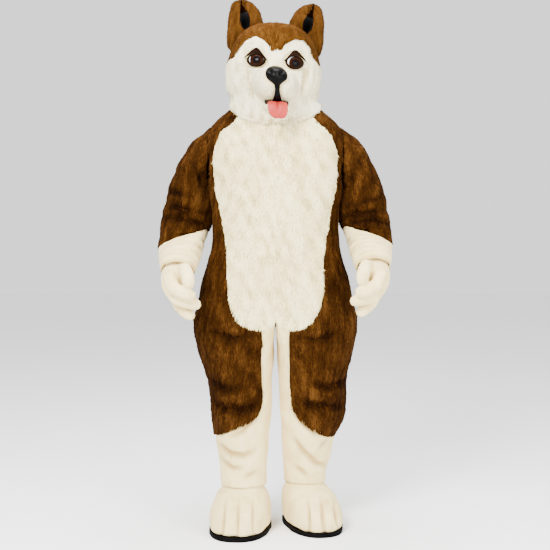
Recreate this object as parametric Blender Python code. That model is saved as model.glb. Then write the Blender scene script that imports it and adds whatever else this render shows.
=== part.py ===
"""Dog mascot costume: suit, head, gloves and boots, hollow and standing as worn.

Metres, +Z up, the wearer faces -Y and the wearer's left is +X. Heights in the tables are
above the ground. The empty that carries every piece is lowered by ORIGIN_HEIGHT, so the
model's origin lies in the middle of the shoulder line, where the wearer carries the suit.

Each cloth piece is a wall between outer points, which hold the folds, and a plain inner
side. Points on the suit are found from a turn angle and a height: 0 faces forward, a
quarter turn is the outer side, and the turns between INNER_BACK and INNER_FRONT lie
between the legs. Seams are short tables of distance from the middle and height, and the
two pieces on a seam share its points.
"""
import math
from collections import namedtuple

import bpy
from mathutils import Matrix, Vector

# ---------------------------------------------------------------- driving sizes
ORIGIN_HEIGHT = 1.45          # shoulder line above the ground
SEAM_HALF = 0.00016           # each piece stops this far short of its seam
SUIT_WALL = 0.009             # pile and backing; equal on both sides of every seam
LAY_ON = 0.0004               # air between a trim piece and what it lies on
RIGHT, LEFT = -1, 1
SIDE_NAMES = {RIGHT: "right", LEFT: "left"}

TORSO_ROUNDNESS = 2.3         # superellipse exponents
HEAD_ROUNDNESS = 2.2
FACE_LIMIT = 0.999            # share of the head's half width where the face is read at most
BOOT_ROUNDNESS = 2.4

FRONT_MIDDLE = -math.pi / 4
BACK_MIDDLE = 5 * math.pi / 4
SIDE = math.pi / 2
FULL_TURN = 2 * math.pi

NECK_TOP = 1.575
NOTCH = 0.789                 # where the belly's two lobes part
NOTCH_GAP = 0.0012            # the leg pieces end this far below the notch
CROTCH = 0.735
CROTCH_FADE = 0.03            # height over which the middle seams turn to face the other leg
LEG_JOIN_TOP, LEG_JOIN_END = 0.745, 0.600
LEG_HEM = 0.165
SHIN_ROWS = (0.0, 0.17, 0.36, 0.57, 0.79, 1.0)   # from the knee seam to the hem
STRIP_TOP_FRONT, STRIP_TOP_BACK, STRIP_TOP_Z = 0.22, 0.25, 0.744
BEND_FADE = 6
LEGS_APART = 0.0004           # each leg's own share of the gap where the legs touch

# ---------------------------------------------------------------- suit tables
Torso = namedtuple("Torso", "z width front back")
TORSO = [
    Torso(1.575, 0.128, 0.100, 0.105),
    Torso(1.555, 0.160, 0.113, 0.120),
    Torso(1.520, 0.197, 0.128, 0.142),
    Torso(1.480, 0.237, 0.142, 0.160),
    Torso(1.440, 0.260, 0.152, 0.170),
    Torso(1.380, 0.264, 0.162, 0.172),
    Torso(1.280, 0.247, 0.172, 0.160),
    Torso(1.180, 0.2345, 0.182, 0.150),
    Torso(1.067, 0.231, 0.188, 0.148),
    Torso(0.990, 0.250, 0.192, 0.160),
    Torso(0.920, 0.272, 0.194, 0.178),
    Torso(0.840, 0.287, 0.192, 0.190),
    Torso(0.770, 0.303, 0.188, 0.190),
    Torso(0.730, 0.302, 0.182, 0.186),
    Torso(0.660, 0.289, 0.170, 0.175),
    Torso(0.550, 0.262, 0.158, 0.165),
]

Leg = namedtuple("Leg", "z inner outer front back")
LEGS = {
    RIGHT: [
        Leg(0.760, 0.0008, 0.303, -0.180, 0.186),
        Leg(0.660, 0.003, 0.289, -0.166, 0.172),
        Leg(0.586, 0.005, 0.266, -0.156, 0.160),
        Leg(0.512, 0.008, 0.239, -0.149, 0.146),
        Leg(0.475, 0.009, 0.246, -0.148, 0.142),
        Leg(0.401, 0.013, 0.239, -0.134, 0.122),
        Leg(0.327, 0.0185, 0.224, -0.118, 0.102),
        Leg(0.253, 0.026, 0.209, -0.106, 0.088),
        Leg(0.165, 0.029, 0.209, -0.101, 0.079),
    ],
    LEFT: [
        Leg(0.760, 0.0008, 0.303, -0.180, 0.186),
        Leg(0.660, 0.003, 0.289, -0.164, 0.174),
        Leg(0.586, 0.005, 0.270, -0.152, 0.166),
        Leg(0.512, 0.008, 0.257, -0.140, 0.156),
        Leg(0.475, 0.010, 0.265, -0.132, 0.156),
        Leg(0.401, 0.015, 0.246, -0.106, 0.148),
        Leg(0.327, 0.0185, 0.220, -0.080, 0.140),
        Leg(0.253, 0.024, 0.202, -0.058, 0.134),
        Leg(0.165, 0.026, 0.192, -0.046, 0.134),
    ],
}

# A seam point is its distance from the middle as seen from the front, and its height.
Seam = namedtuple("Seam", "across z")
BELLY_SEAM = [
    Seam(0.098, 1.575), Seam(0.147, 1.500), Seam(0.193, 1.465), Seam(0.222, 1.415),
    Seam(0.230, 1.365), Seam(0.226, 1.300), Seam(0.212, 1.235), Seam(0.197, 1.160),
    Seam(0.181, 1.080), Seam(0.176, 0.969), Seam(0.176, 0.913), Seam(0.173, 0.863),
    Seam(0.1515, 0.806),
]
BELLY_LOBE = [                # from the notch round the lobe to the belly seam's end
    Seam(0.0, NOTCH), Seam(0.022, 0.768), Seam(0.047, 0.757), Seam(0.079, 0.760),
    Seam(0.112, 0.771), Seam(0.136, 0.787), Seam(0.1515, 0.806),
]
LOBE_ON_LEG = 2               # the lobe's first stretches lie against the leg strip
STRIP_SEAM = {
    RIGHT: [Seam(0.047, 0.757), Seam(0.047, 0.690), Seam(0.051, 0.610),
            Seam(0.034, 0.525), Seam(0.040, 0.462)],
    LEFT: [Seam(0.047, 0.757), Seam(0.047, 0.690), Seam(0.047, 0.610),
           Seam(0.048, 0.530), Seam(0.058, 0.462)],
}
STRIP_BACK = [Seam(0.0, CROTCH), Seam(0.032, 0.690), Seam(0.045, 0.620),
              Seam(0.048, 0.540), Seam(0.056, 0.468)]
KNEE_SEAM = {
    RIGHT: [Seam(0.040, 0.462), Seam(0.063, 0.438), Seam(0.095, 0.414),
            Seam(0.135, 0.398), Seam(0.172, 0.384), Seam(0.205, 0.366)],
    LEFT: [Seam(0.058, 0.462), Seam(0.080, 0.429), Seam(0.107, 0.402),
           Seam(0.140, 0.378), Seam(0.175, 0.359), Seam(0.210, 0.346)],
}
KNEE_SIDE = {RIGHT: 0.355, LEFT: 0.352}
KNEE_BACK = [Seam(0.056, 0.468), Seam(0.080, 0.430), Seam(0.110, 0.402), Seam(0.145, 0.382),
             Seam(0.178, 0.369), Seam(0.212, 0.360)]

ARMHOLE_TOP, ARMHOLE_BOTTOM = 1.490, 1.280
ARMHOLE_TURN = 0.62           # half of the armhole's spread in turn
ARMHOLE_STEPS = 10            # stretches on each half, front and back
SHOULDER_ROW = 1.535
BESIDE_ARM_FRONT, FRONT_ROW = 1.500, 0.0255    # first row beside the arm and the step down
BESIDE_ARM_BACK, BACK_ROW = 1.495, 0.0235
SIDE_HEIGHTS = [1.215, 1.145, 1.070, 0.995, 0.930, 0.875, 0.825,
                0.790, 0.757, 0.722, 0.675, 0.600, 0.530, 0.445]
BELLY_HEIGHTS = [1.262, 1.220, 1.150, 1.070, 0.990, 0.925, 0.863]
BACK_HEIGHTS = [1.215, 1.145, 1.070, 0.995, 0.930, 0.880, 0.840, 0.810, 0.785, 0.760]

# A fold lies on the suit at a turn and height, runs for a half length at a slope
# (metres of rise for each radian), and is a trough or, with a negative depth, a ridge.
Fold = namedtuple("Fold", "side turn z reach slope width depth")
FOLDS = [
    Fold(RIGHT, 0.95, 0.470, 0.75, 0.020, 0.016, 0.008),
    Fold(RIGHT, 1.20, 0.505, 0.60, 0.030, 0.018, -0.005),
    Fold(RIGHT, 0.70, 0.640, 0.60, 0.060, 0.020, 0.005),
    Fold(RIGHT, 2.20, 0.480, 0.70, -0.015, 0.018, 0.007),
    Fold(RIGHT, 2.40, 0.620, 0.60, -0.050, 0.020, 0.005),
    Fold(LEFT, 0.85, 0.480, 0.65, 0.015, 0.016, 0.006),
    Fold(LEFT, 0.90, 0.560, 0.60, 0.030, 0.018, 0.006),
    Fold(LEFT, 0.60, 0.660, 0.50, 0.060, 0.020, 0.004),
    Fold(LEFT, 2.30, 0.500, 0.70, -0.020, 0.018, 0.007),
    Fold(LEFT, 2.10, 0.610, 0.60, -0.050, 0.020, 0.005),
    Fold(RIGHT, 1.50, 1.010, 0.60, -0.030, 0.022, 0.005),
    Fold(LEFT, 1.50, 1.020, 0.60, -0.030, 0.022, 0.005),
    Fold(RIGHT, 0.40, 0.285, 0.90, 0.010, 0.018, 0.0035),
    Fold(LEFT, -0.20, 0.275, 0.90, -0.050, 0.018, 0.0035),
    Fold(RIGHT, 2.60, 0.880, 0.80, 0.060, 0.025, 0.006),
    Fold(LEFT, 2.60, 0.870, 0.80, 0.060, 0.025, 0.006),
    Fold(RIGHT, 2.80, 1.230, 0.60, 0.080, 0.025, 0.005),
    Fold(LEFT, 2.80, 1.240, 0.60, 0.080, 0.025, 0.005),
]

# ---------------------------------------------------------------- arm tables
# A sleeve ring is seen from the front as a line from its outer to its inner end.
SleeveRing = namedtuple("SleeveRing", "outer_x outer_z inner_x inner_z middle_y depth rise")
SLEEVE_RINGS = [              # rise lifts the front of the ring and lowers its back
    SleeveRing(0.291, 1.447, 0.258, 1.266, 0.004, 0.086, 0.000),
    SleeveRing(0.329, 1.404, 0.259, 1.254, 0.005, 0.088, 0.000),
    SleeveRing(0.361, 1.347, 0.2500, 1.236, 0.006, 0.090, 0.000),
    SleeveRing(0.387, 1.289, 0.2430, 1.206, 0.008, 0.088, 0.000),
    SleeveRing(0.406, 1.228, 0.2380, 1.174, 0.010, 0.091, 0.002),
    SleeveRing(0.417, 1.170, 0.2365, 1.146, 0.012, 0.089, 0.006),
    SleeveRing(0.430, 1.108, 0.2360, 1.128, 0.013, 0.093, 0.011),
    SleeveRing(0.436, 1.044, 0.2400, 1.108, 0.012, 0.092, 0.016),
]
# A forearm ring runs from its front to its back end; its outer side hangs lower by drop.
# Swell makes the ring wrinkles: ridges and troughs of uneven height.
ForearmRing = namedtuple("ForearmRing", "across front_y front_z back_y back_z drop swell")
FOREARM_RINGS = [
    ForearmRing(0.094, -0.094, 1.083, 0.088, 1.030, 0.028, 0.0030),
    ForearmRing(0.090, -0.114, 1.079, 0.060, 1.004, 0.024, -0.0030),
    ForearmRing(0.086, -0.136, 1.074, 0.030, 0.984, 0.020, 0.0025),
    ForearmRing(0.083, -0.158, 1.067, -0.002, 0.968, 0.016, -0.0030),
    ForearmRing(0.080, -0.180, 1.058, -0.034, 0.954, 0.012, 0.0030),
    ForearmRing(0.076, -0.203, 1.047, -0.066, 0.943, 0.008, -0.0020),
    ForearmRing(0.072, -0.226, 1.034, -0.097, 0.933, 0.004, 0.0020),
    ForearmRing(0.070, -0.250, 1.021, -0.126, 0.924, 0.001, -0.0020),
    ForearmRing(0.069, -0.272, 1.006, -0.158, 0.919, 0.000, 0.0),
]
FOREARM_X = 0.343
ARM_RAISE = {RIGHT: 0.0, LEFT: 0.012}      # the left forearm and hand are held a little higher

# ---------------------------------------------------------------- glove tables
GLOVE_WALL = 0.008
TIP_ANGLE = math.radians(50)  # where the last ring before a fingertip lies
PALM_SIDES, DIGIT_SIDES, PALM_HOLLOW_SIDES, DIGIT_HOLLOW_SIDES = 14, 9, 10, 6
WRIST_OPEN_BY = 0.02          # how far the palm's hollow runs out of the wrist
Joint = namedtuple("Joint", "x y z radius")
PALM = [Joint(0.342, -0.132, 1.001, 0.0440), Joint(0.342, -0.165, 0.9888, 0.0457),
        Joint(0.350, -0.208, 0.960, 0.0480), Joint(0.362, -0.216, 0.920, 0.0420)]
DIGITS = [
    [Joint(0.366, -0.238, 0.944, 0.026), Joint(0.350, -0.275, 0.902, 0.025),
     Joint(0.296, -0.276, 0.879, 0.023)],
    [Joint(0.374, -0.214, 0.912, 0.026), Joint(0.346, -0.243, 0.866, 0.024),
     Joint(0.280, -0.244, 0.846, 0.022)],
    [Joint(0.360, -0.188, 0.900, 0.025), Joint(0.338, -0.202, 0.838, 0.023),
     Joint(0.302, -0.212, 0.806, 0.021)],
    [Joint(0.329, -0.218, 0.984, 0.024), Joint(0.307, -0.268, 0.955, 0.024),
     Joint(0.298, -0.288, 0.922, 0.022)],
]

# ---------------------------------------------------------------- boot tables
SOLE_THICKNESS = 0.017
SOLE_MARGIN = 0.004
BOOT_WALL = 0.009
BootRing = namedtuple("BootRing", "z width front back outward")
BOOT_RINGS = [
    BootRing(0.0172, 0.104, 0.206, 0.128, 1.0),
    BootRing(0.034, 0.110, 0.216, 0.133, 1.0),
    BootRing(0.062, 0.111, 0.215, 0.133, 0.95),
    BootRing(0.088, 0.107, 0.200, 0.127, 0.80),
    BootRing(0.110, 0.101, 0.172, 0.118, 0.55),
    BootRing(0.134, 0.093, 0.126, 0.104, 0.30),
]
BOOT_OUTWARD = {RIGHT: 0.009, LEFT: 0.024}     # how far the foot stands outside its ankle
BOOT_WIDER = {RIGHT: 0.006, LEFT: -0.003}
COLLAR_HEIGHTS = (0.153, 0.182)
COLLAR_AIR = 0.0022           # between the round collar and the leg's hem, both many-sided
TURN_OUT = {RIGHT: 5.0, LEFT: 12.0}
TOE_SEAMS = (-0.5, 0.0, 0.5)  # share of the half width
TOE_SEAM_WIDTH = 0.10
TOE_SEAM_DEPTH = 0.0085
TOE_SEAM_TOP, TOE_SEAM_FADE = 0.135, 0.05      # height where a seam ends and fades
TOE_SEAM_START, TOE_SEAM_RUN = 0.25, 0.4       # share of the toe's reach where it fades in
TOE_COLUMNS = (0.0, 0.12, 0.25, 0.38, 0.50, 0.62, 0.77, 0.92)
HEEL_COLUMNS = 7

# ---------------------------------------------------------------- head tables
HEAD_X = -0.012
HEAD_ROLL, HEAD_YAW = math.radians(3.2), math.radians(2.5)
HEAD_PIVOT = Vector((HEAD_X, 0.0, 1.60))
HEAD_WALL = 0.012
SKULL_CAP = 0.002             # the cap over the skull's second ring counts as level
Skull = namedtuple("Skull", "z width front back")
SKULL = [
    Skull(1.8590, 0.000, 0.045, 0.060),
    Skull(1.8560, 0.048, 0.076, 0.092),
    Skull(1.8440, 0.090, 0.100, 0.124),
    Skull(1.8220, 0.124, 0.119, 0.150),
    Skull(1.7960, 0.146, 0.131, 0.167),
    Skull(1.7670, 0.160, 0.137, 0.178),
    Skull(1.7330, 0.170, 0.142, 0.186),
    Skull(1.6950, 0.180, 0.148, 0.190),
    Skull(1.6500, 0.178, 0.152, 0.186),
    Skull(1.6100, 0.170, 0.150, 0.175),
    Skull(1.5700, 0.163, 0.152, 0.166),
    Skull(1.4700, 0.160, 0.154, 0.160),
]
RUFF_FRONT, RUFF_SIDE, RUFF_BACK = 1.480, 1.556, 1.512
RUFF_CURVE = 0.8
RUFF_AIR = 0.0015
RUFF_START = 1.600
# The seam of brown crown and white face, as turns in degrees from the front middle.
FaceSeam = namedtuple("FaceSeam", "turn z")
FACE_SEAM = [
    FaceSeam(0, 1.731), FaceSeam(4.2, 1.723), FaceSeam(6.2, 1.747), FaceSeam(9.5, 1.764),
    FaceSeam(22, 1.7815), FaceSeam(33, 1.775), FaceSeam(41, 1.752), FaceSeam(46, 1.727),
    FaceSeam(51, 1.715), FaceSeam(68, 1.713), FaceSeam(90, 1.699), FaceSeam(108, 1.645),
]
CHEEK_BACK = 112
CHEEK_CORNER = 0.020          # height of the cheek's edge where it meets the ruff's
CROWN_ROWS = (0.0, 0.10, 0.22, 0.38, 0.56, 0.77, 1.0)
CHEEK_ROWS = (0.0, 0.15, 0.32, 0.50, 0.68, 0.84, 1.0)
CROWN_BACK_TURNS = (112, 128, 146, 163, 180)

Muzzle = namedtuple("Muzzle", "y width up down middle_z")
MUZZLE = [
    Muzzle(-0.120, 0.088, 0.056, 0.072, 1.620),
    Muzzle(-0.160, 0.087, 0.057, 0.066, 1.620),
    Muzzle(-0.200, 0.083, 0.059, 0.062, 1.617),
    Muzzle(-0.230, 0.075, 0.058, 0.057, 1.614),
    Muzzle(-0.252, 0.061, 0.051, 0.048, 1.612),
    Muzzle(-0.266, 0.041, 0.035, 0.032, 1.612),
    Muzzle(-0.272, 0.000, 0.000, 0.000, 1.613),
]
MUZZLE_COLUMNS = 16
MUZZLE_ROUNDNESS = 2.2
MUZZLE_WALL = 0.009
LIP_CLEFT = 0.007             # how far the lobes' middle is drawn in under the nose
CLEFT_WIDTH = 0.24            # share of the muzzle's half width
CLEFT_START_Y, CLEFT_FADE, CLEFT_HEIGHT = -0.19, 0.05, 0.03
# Below this height the mouth leans to the left by this share of the drop.
LEAN_FROM, MOUTH_LEAN = 1.650, 0.11
MUZZLE_HEART = 0.03           # how far behind a ring the point lies that its wall thickens to

# A patch lies on the face or on the muzzle: middle, half sizes and how far it stands out.
Patch = namedtuple("Patch", "across z half_width half_height rise")
EYE = Patch(0.068, 1.702, 0.0355, 0.0265, 0.016)
EYE_AIR, LID_AIR = 0.0008, 0.0009
DOME_RINGS = 3
DOME_EDGE = 0.0030            # thickness of a cushion's edge
EYE_COLUMNS = 16
LID_OVER_FACE = 0.0035        # how far the lid stands off the face beside the eye
EYE_SPREAD = 1.12             # the eye's rim, as the lid goes round it
LID_FADE_END, LID_FADE = 1.45, 0.35            # shares of the eye's half size
LID_THICKNESS, LID_BULGE = 0.0045, 0.0020
LID_ROWS = (0.0, 0.5, 1.0)
Lid = namedtuple("Lid", "across bottom top")
LID = [                       # from the inner corner to the outer one
    Lid(0.0300, 1.6985, 1.7035), Lid(0.0400, 1.7085, 1.7160), Lid(0.0500, 1.7160, 1.7300),
    Lid(0.0600, 1.7210, 1.7435), Lid(0.0690, 1.7235, 1.7500), Lid(0.0800, 1.7230, 1.7440),
    Lid(0.0920, 1.7185, 1.7335), Lid(0.1030, 1.7120, 1.7215), Lid(0.1120, 1.7055, 1.7105),
]
NOSE_Z, NOSE_RISE = 1.6415, 0.020
NOSE_OUTLINE = [              # half of it from the top to the foot, from the nose's middle
    (0.0, 0.0295), (0.0170, 0.0275), (0.0300, 0.0185), (0.0380, 0.0050), (0.0400, -0.0085),
    (0.0350, -0.0215), (0.0250, -0.0285), (0.0150, -0.0360), (0.0090, -0.0450),
]
NOSE_AIR, NOSE_BACK_Y = 0.0025, -0.240
PHILTRUM_AIR, PHILTRUM_RISE, PHILTRUM_STEPS = 0.0014, 0.003, 6
PHILTRUM_TOP, PHILTRUM_END = 1.5959, 1.562
PHILTRUM_WIDTH, PHILTRUM_FLARE = 0.0085, 1.1
CLEFT_FOLLOWED = 0.8          # share of the lip's cleft that the philtrum is drawn in by

# An ear is a cone with a slot in front, its rings given from root to tip.
Ear = namedtuple("Ear", "share x y half_width half_depth slot")
EAR = [
    Ear(0.00, 0.106, 0.014, 0.061, 0.042, 0.17),
    Ear(0.25, 0.114, 0.010, 0.066, 0.040, 0.31),
    Ear(0.50, 0.120, 0.006, 0.061, 0.034, 0.27),
    Ear(0.75, 0.126, 0.001, 0.051, 0.027, 0.19),
    Ear(0.92, 0.131, -0.002, 0.033, 0.017, 0.12),
]
EAR_TIP = Vector((0.134, -0.003, 1.943))
EAR_WALL = 0.009
EAR_AIR = 0.0016
EAR_LOWEST = 1.65             # no ear root lies lower on the skull
TIP_INSET = 1.6               # how much lower an inner layer's tip lies, in insets
TIP_WALLS = 1.9               # the wall's thickness under the tip, in walls
EAR_LINING_AIR = 0.0034
EAR_LINING_WALL = 0.003
EAR_COLUMNS = 12
JAW_RIM_Z, JAW_DEPTH = 1.540, 0.027
JAW_BACK_Y, JAW_LENGTH, JAW_WIDTH = -0.1478, 0.0807, 0.052
JAW_WALL = 0.008
JAW_COLUMNS, JAW_ROWS = 10, 4
LINING_INSET, LINING_WALL = 0.0112, 0.003
LINING_SPREAD = 0.0085        # how much wider the lining is at its top
LINING_START = math.radians(18)
LINING_BACK = 0.007
LINING_BOTTOM_Z, LINING_TOP_Z, LINING_AIR = 1.5345, 1.556, 0.0012
# The tongue's upper side from root to tip.
Tongue = namedtuple("Tongue", "y z half_width")
TONGUE = [
    Tongue(-0.2125, 1.5492, 0.027), Tongue(-0.2225, 1.5511, 0.030), Tongue(-0.236, 1.5515, 0.033),
    Tongue(-0.248, 1.545, 0.035), Tongue(-0.255, 1.530, 0.0357), Tongue(-0.2565, 1.511, 0.034),
    Tongue(-0.255, 1.496, 0.027), Tongue(-0.253, 1.4885, 0.015),
]
TONGUE_WALL = 0.008
TONGUE_CREASE, CREASE_SPREAD = 0.0035, 0.2
TONGUE_CURL, UNDER_CURL = 0.003, 0.2           # the edges' rise, and its share underneath
TONGUE_COLUMNS = 8

WALL_STEP = 1e-4              # for slopes measured on a surface
SAME_TURN = 1e-4              # turns nearer than this are one
SEARCH_STEPS = 40             # halvings in a search along a surface
MITRE_LIMIT = 0.35            # keeps a sharp corner's border from being drawn back too far
POINT_PLACES = 6              # decimals at which two points are one
ORDER_PLACES = 5
CREASE_ANGLE = 40


# ---------------------------------------------------------------- scene and materials
def clear_scene():
    for old in list(bpy.data.objects):
        bpy.data.objects.remove(old, do_unlink=True)


def new_collection(name):
    collection = bpy.data.collections.new(name)
    bpy.context.scene.collection.children.link(collection)
    return collection


def material(name, colour, roughness, sheen=0.0):
    made = bpy.data.materials.new(name)
    made.use_nodes = True
    shader = made.node_tree.nodes["Principled BSDF"]
    shader.inputs["Base Color"].default_value = (*colour, 1.0)
    shader.inputs["Roughness"].default_value = roughness
    shader.inputs["Sheen Weight"].default_value = sheen
    made.diffuse_color = (*colour, 1.0)
    return made


def ease(share):
    share = min(max(share, 0.0), 1.0)
    return share * share * (3.0 - 2.0 * share)


# ---------------------------------------------------------------- tables read as smooth curves
def hermite(xs, ys, x):
    """A curve through a table's points that never runs past them."""
    rising = xs[-1] > xs[0]
    if (x - xs[0]) * (1 if rising else -1) <= 0:
        return ys[0]
    if (x - xs[-1]) * (1 if rising else -1) >= 0:
        return ys[-1]
    count = len(xs)
    slopes = [(ys[i + 1] - ys[i]) / (xs[i + 1] - xs[i]) for i in range(count - 1)]
    tangents = [slopes[0]]
    for before, after in zip(slopes, slopes[1:]):
        flat = before * after <= 0
        tangents.append(0.0 if flat else 2.0 * before * after / (before + after))
    tangents.append(slopes[-1])
    i = next(k for k in range(count - 1) if (x - xs[k]) * (x - xs[k + 1]) <= 0)
    width = xs[i + 1] - xs[i]
    t = (x - xs[i]) / width
    return (ys[i] * (1 + 2 * t) * (1 - t) ** 2 + ys[i + 1] * t * t * (3 - 2 * t)
            + width * (tangents[i] * t * (1 - t) ** 2 - tangents[i + 1] * t * t * (1 - t)))


def read(table, column, z):
    return hermite([row[0] for row in table], [getattr(row, column) for row in table], z)


def rounded(angle, exponent):
    """Sine and cosine of a superellipse."""
    s, c = math.sin(angle), math.cos(angle)
    power = 2.0 / exponent
    return (math.copysign(abs(s) ** power, s), math.copysign(abs(c) ** power, c))


# ---------------------------------------------------------------- the suit's surface
def torso_point(angle, z):
    across, ahead = rounded(angle, TORSO_ROUNDNESS)
    depth = read(TORSO, "front" if ahead > 0 else "back", z)
    return Vector((read(TORSO, "width", z) * across, -depth * ahead, z))


def leg_point(side, turn, z):
    table = LEGS[side]
    inner, outer = read(table, "inner", z), read(table, "outer", z)
    front, back = read(table, "front", z), read(table, "back", z)
    across = (inner + outer) / 2 + (outer - inner) / 2 * math.sin(turn)
    return Vector((across, (front + back) / 2 - (back - front) / 2 * math.cos(turn), z))


def wrapped(turn):
    """The same turn, counted on from the back middle when it has passed between the legs."""
    while turn < BACK_MIDDLE - FULL_TURN + SAME_TURN / 100:
        turn += FULL_TURN
    return turn


def between_legs(turn):
    return turn < FRONT_MIDDLE - SAME_TURN / 100


def medial_share(turn):
    """How far a turn between the legs lies from the front middle to the back middle."""
    return (FRONT_MIDDLE - turn) / (FULL_TURN - (BACK_MIDDLE - FRONT_MIDDLE))


def join_weight(z):
    return ease((LEG_JOIN_TOP - z) / (LEG_JOIN_TOP - LEG_JOIN_END))


def suit_angle(turn):
    return (turn - FRONT_MIDDLE) * math.pi / (BACK_MIDDLE - FRONT_MIDDLE)


def upper_point(turn, z):
    if not between_legs(turn):
        return torso_point(suit_angle(turn), z)
    share = medial_share(turn)
    front, back = read(TORSO, "front", z), read(TORSO, "back", z)
    return Vector((0.0, -front + (front + back) * share, z))


def half_point(side, turn, z):
    """A point of the plain surface, on the side with positive x."""
    turn = wrapped(turn)
    weight = join_weight(z)
    point = upper_point(turn, z)
    if weight > 0:
        point = point.lerp(leg_point(side, turn, z), weight)
    if between_legs(turn):
        point.x = max(point.x, LEGS_APART)
    return point


def surface_normal(point_at, turn, z):
    around = point_at(turn + WALL_STEP, z) - point_at(turn - WALL_STEP, z)
    down = point_at(turn, z - WALL_STEP) - point_at(turn, z + WALL_STEP)
    return down.cross(around).normalized()


def upper_normal(turn, z):
    inward = Vector((-1.0, 0.0, 0.0))
    if between_legs(turn):
        return inward
    smooth = surface_normal(lambda t, h: torso_point(suit_angle(t), h), turn, z)
    at_front = abs(turn - FRONT_MIDDLE) < SAME_TURN
    at_back = abs(turn - BACK_MIDDLE) < SAME_TURN
    start = NOTCH if at_front else CROTCH
    if (at_front or at_back) and z < start:
        return smooth.lerp(inward, 0.5 * ease((start - z) / CROTCH_FADE)).normalized()
    return smooth


def half_normal(side, turn, z):
    turn = wrapped(turn)
    weight = join_weight(z)
    normal = upper_normal(turn, z)
    if weight > 0:
        leg = surface_normal(lambda t, h: leg_point(side, t, h), turn, z)
        normal = normal.lerp(leg, weight).normalized()
    return normal


def fold_depth(side, turn, z):
    depth = 0.0
    for fold in FOLDS:
        if fold.side != side:
            continue
        along = math.remainder(turn - fold.turn, FULL_TURN)
        if abs(along) > 2 * fold.reach:
            continue
        aside = z - fold.z - fold.slope * along
        depth += fold.depth * math.exp(-(along / fold.reach) ** 2 - (aside / fold.width) ** 2)
    return depth


def mirrored(side, vector):
    return Vector((vector.x * side, vector.y, vector.z))


def suit_wall(side, turn, z, thickness):
    """Matching outer and inner points of the suit's wall."""
    base = half_point(side, turn, z)
    normal = half_normal(side, turn, z)
    outer = base - normal * fold_depth(side, turn, z)
    return mirrored(side, outer), mirrored(side, base - normal * thickness)


def turn_at(side, seam, back=False):
    """The turn at which a seam point's distance from the middle is reached."""
    low, high = FRONT_MIDDLE, SIDE
    if half_point(side, low, seam.z).x >= seam.across:
        return math.pi - low if back else low
    if half_point(side, high, seam.z).x <= seam.across:
        return high
    for _ in range(SEARCH_STEPS):
        middle = (low + high) / 2
        if half_point(side, middle, seam.z).x < seam.across:
            low = middle
        else:
            high = middle
    return math.pi - low if back else low


# ---------------------------------------------------------------- seams as (turn, z) lists
def on_suit(side, seams, back=False):
    return [(turn_at(side, seam, back), seam.z) for seam in seams]


def along_seam(table, heights):
    """A seam table read at other heights."""
    return [Seam(read_seam(table, z), z) for z in heights]


def read_seam(table, z):
    return hermite([row.z for row in table], [row.across for row in table], z)


def armhole_half(direction):
    """One half of the armhole from its top to its bottom: -1 in front, +1 behind."""
    middle = (ARMHOLE_TOP + ARMHOLE_BOTTOM) / 2
    half = (ARMHOLE_TOP - ARMHOLE_BOTTOM) / 2
    angles = [math.pi * step / ARMHOLE_STEPS for step in range(ARMHOLE_STEPS + 1)]
    return [(SIDE + direction * ARMHOLE_TURN * math.sin(angle), middle + half * math.cos(angle))
            for angle in angles]


def side_border(side, direction):
    """Shoulder seam, armhole edge and side seam, from the neck to the knee."""
    shoulder = [(SIDE, NECK_TOP), (SIDE, (NECK_TOP + ARMHOLE_TOP) / 2)]
    flank = [(SIDE, z) for z in SIDE_HEIGHTS + [KNEE_SIDE[side]]]
    return shoulder + armhole_half(direction) + flank


def belly_border(side):
    """The belly seam from the neck to the lobe, one point for each row of the suit."""
    beside_arm = [BESIDE_ARM_FRONT - FRONT_ROW * step for step in range(ARMHOLE_STEPS)]
    heights = [NECK_TOP, SHOULDER_ROW] + beside_arm + BELLY_HEIGHTS + [BELLY_SEAM[-1].z]
    return on_suit(side, along_seam(BELLY_SEAM, heights))


def back_border(side):
    """The centre-back seam from the neck to the crotch, then the leg strip's back seam."""
    beside_arm = [BESIDE_ARM_BACK - BACK_ROW * step for step in range(ARMHOLE_STEPS + 1)]
    heights = [NECK_TOP, SHOULDER_ROW] + beside_arm + BACK_HEIGHTS + [CROTCH]
    return [(BACK_MIDDLE, z) for z in heights] + on_suit(side, STRIP_BACK[1:], back=True)


def knee_border(side, back):
    table = KNEE_BACK if back else KNEE_SEAM[side]
    return on_suit(side, table, back) + [(SIDE, KNEE_SIDE[side])]


def mix(first, second, share):
    return tuple(a + (b - a) * share for a, b in zip(first, second))


def fill(top, bottom, left, right):
    """Rows of (turn, z) between four borders; the bends of top and bottom soon fade."""
    columns, rows = len(top) - 1, len(left) - 1
    grid = []
    for r in range(rows + 1):
        down = r / rows
        line = []
        for c in range(columns + 1):
            across = c / columns
            place = mix(left[r], right[r], across)
            for border, weight in ((top, (1 - down) ** BEND_FADE), (bottom, down ** BEND_FADE)):
                plain = mix(border[0], border[-1], across)
                place = tuple(p + weight * (b - s) for p, b, s in zip(place, border[c], plain))
            line.append(place)
        grid.append(line)
    return grid


def straight(start, end, steps):
    return [mix(start, end, step / steps) for step in range(steps + 1)]


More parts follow.
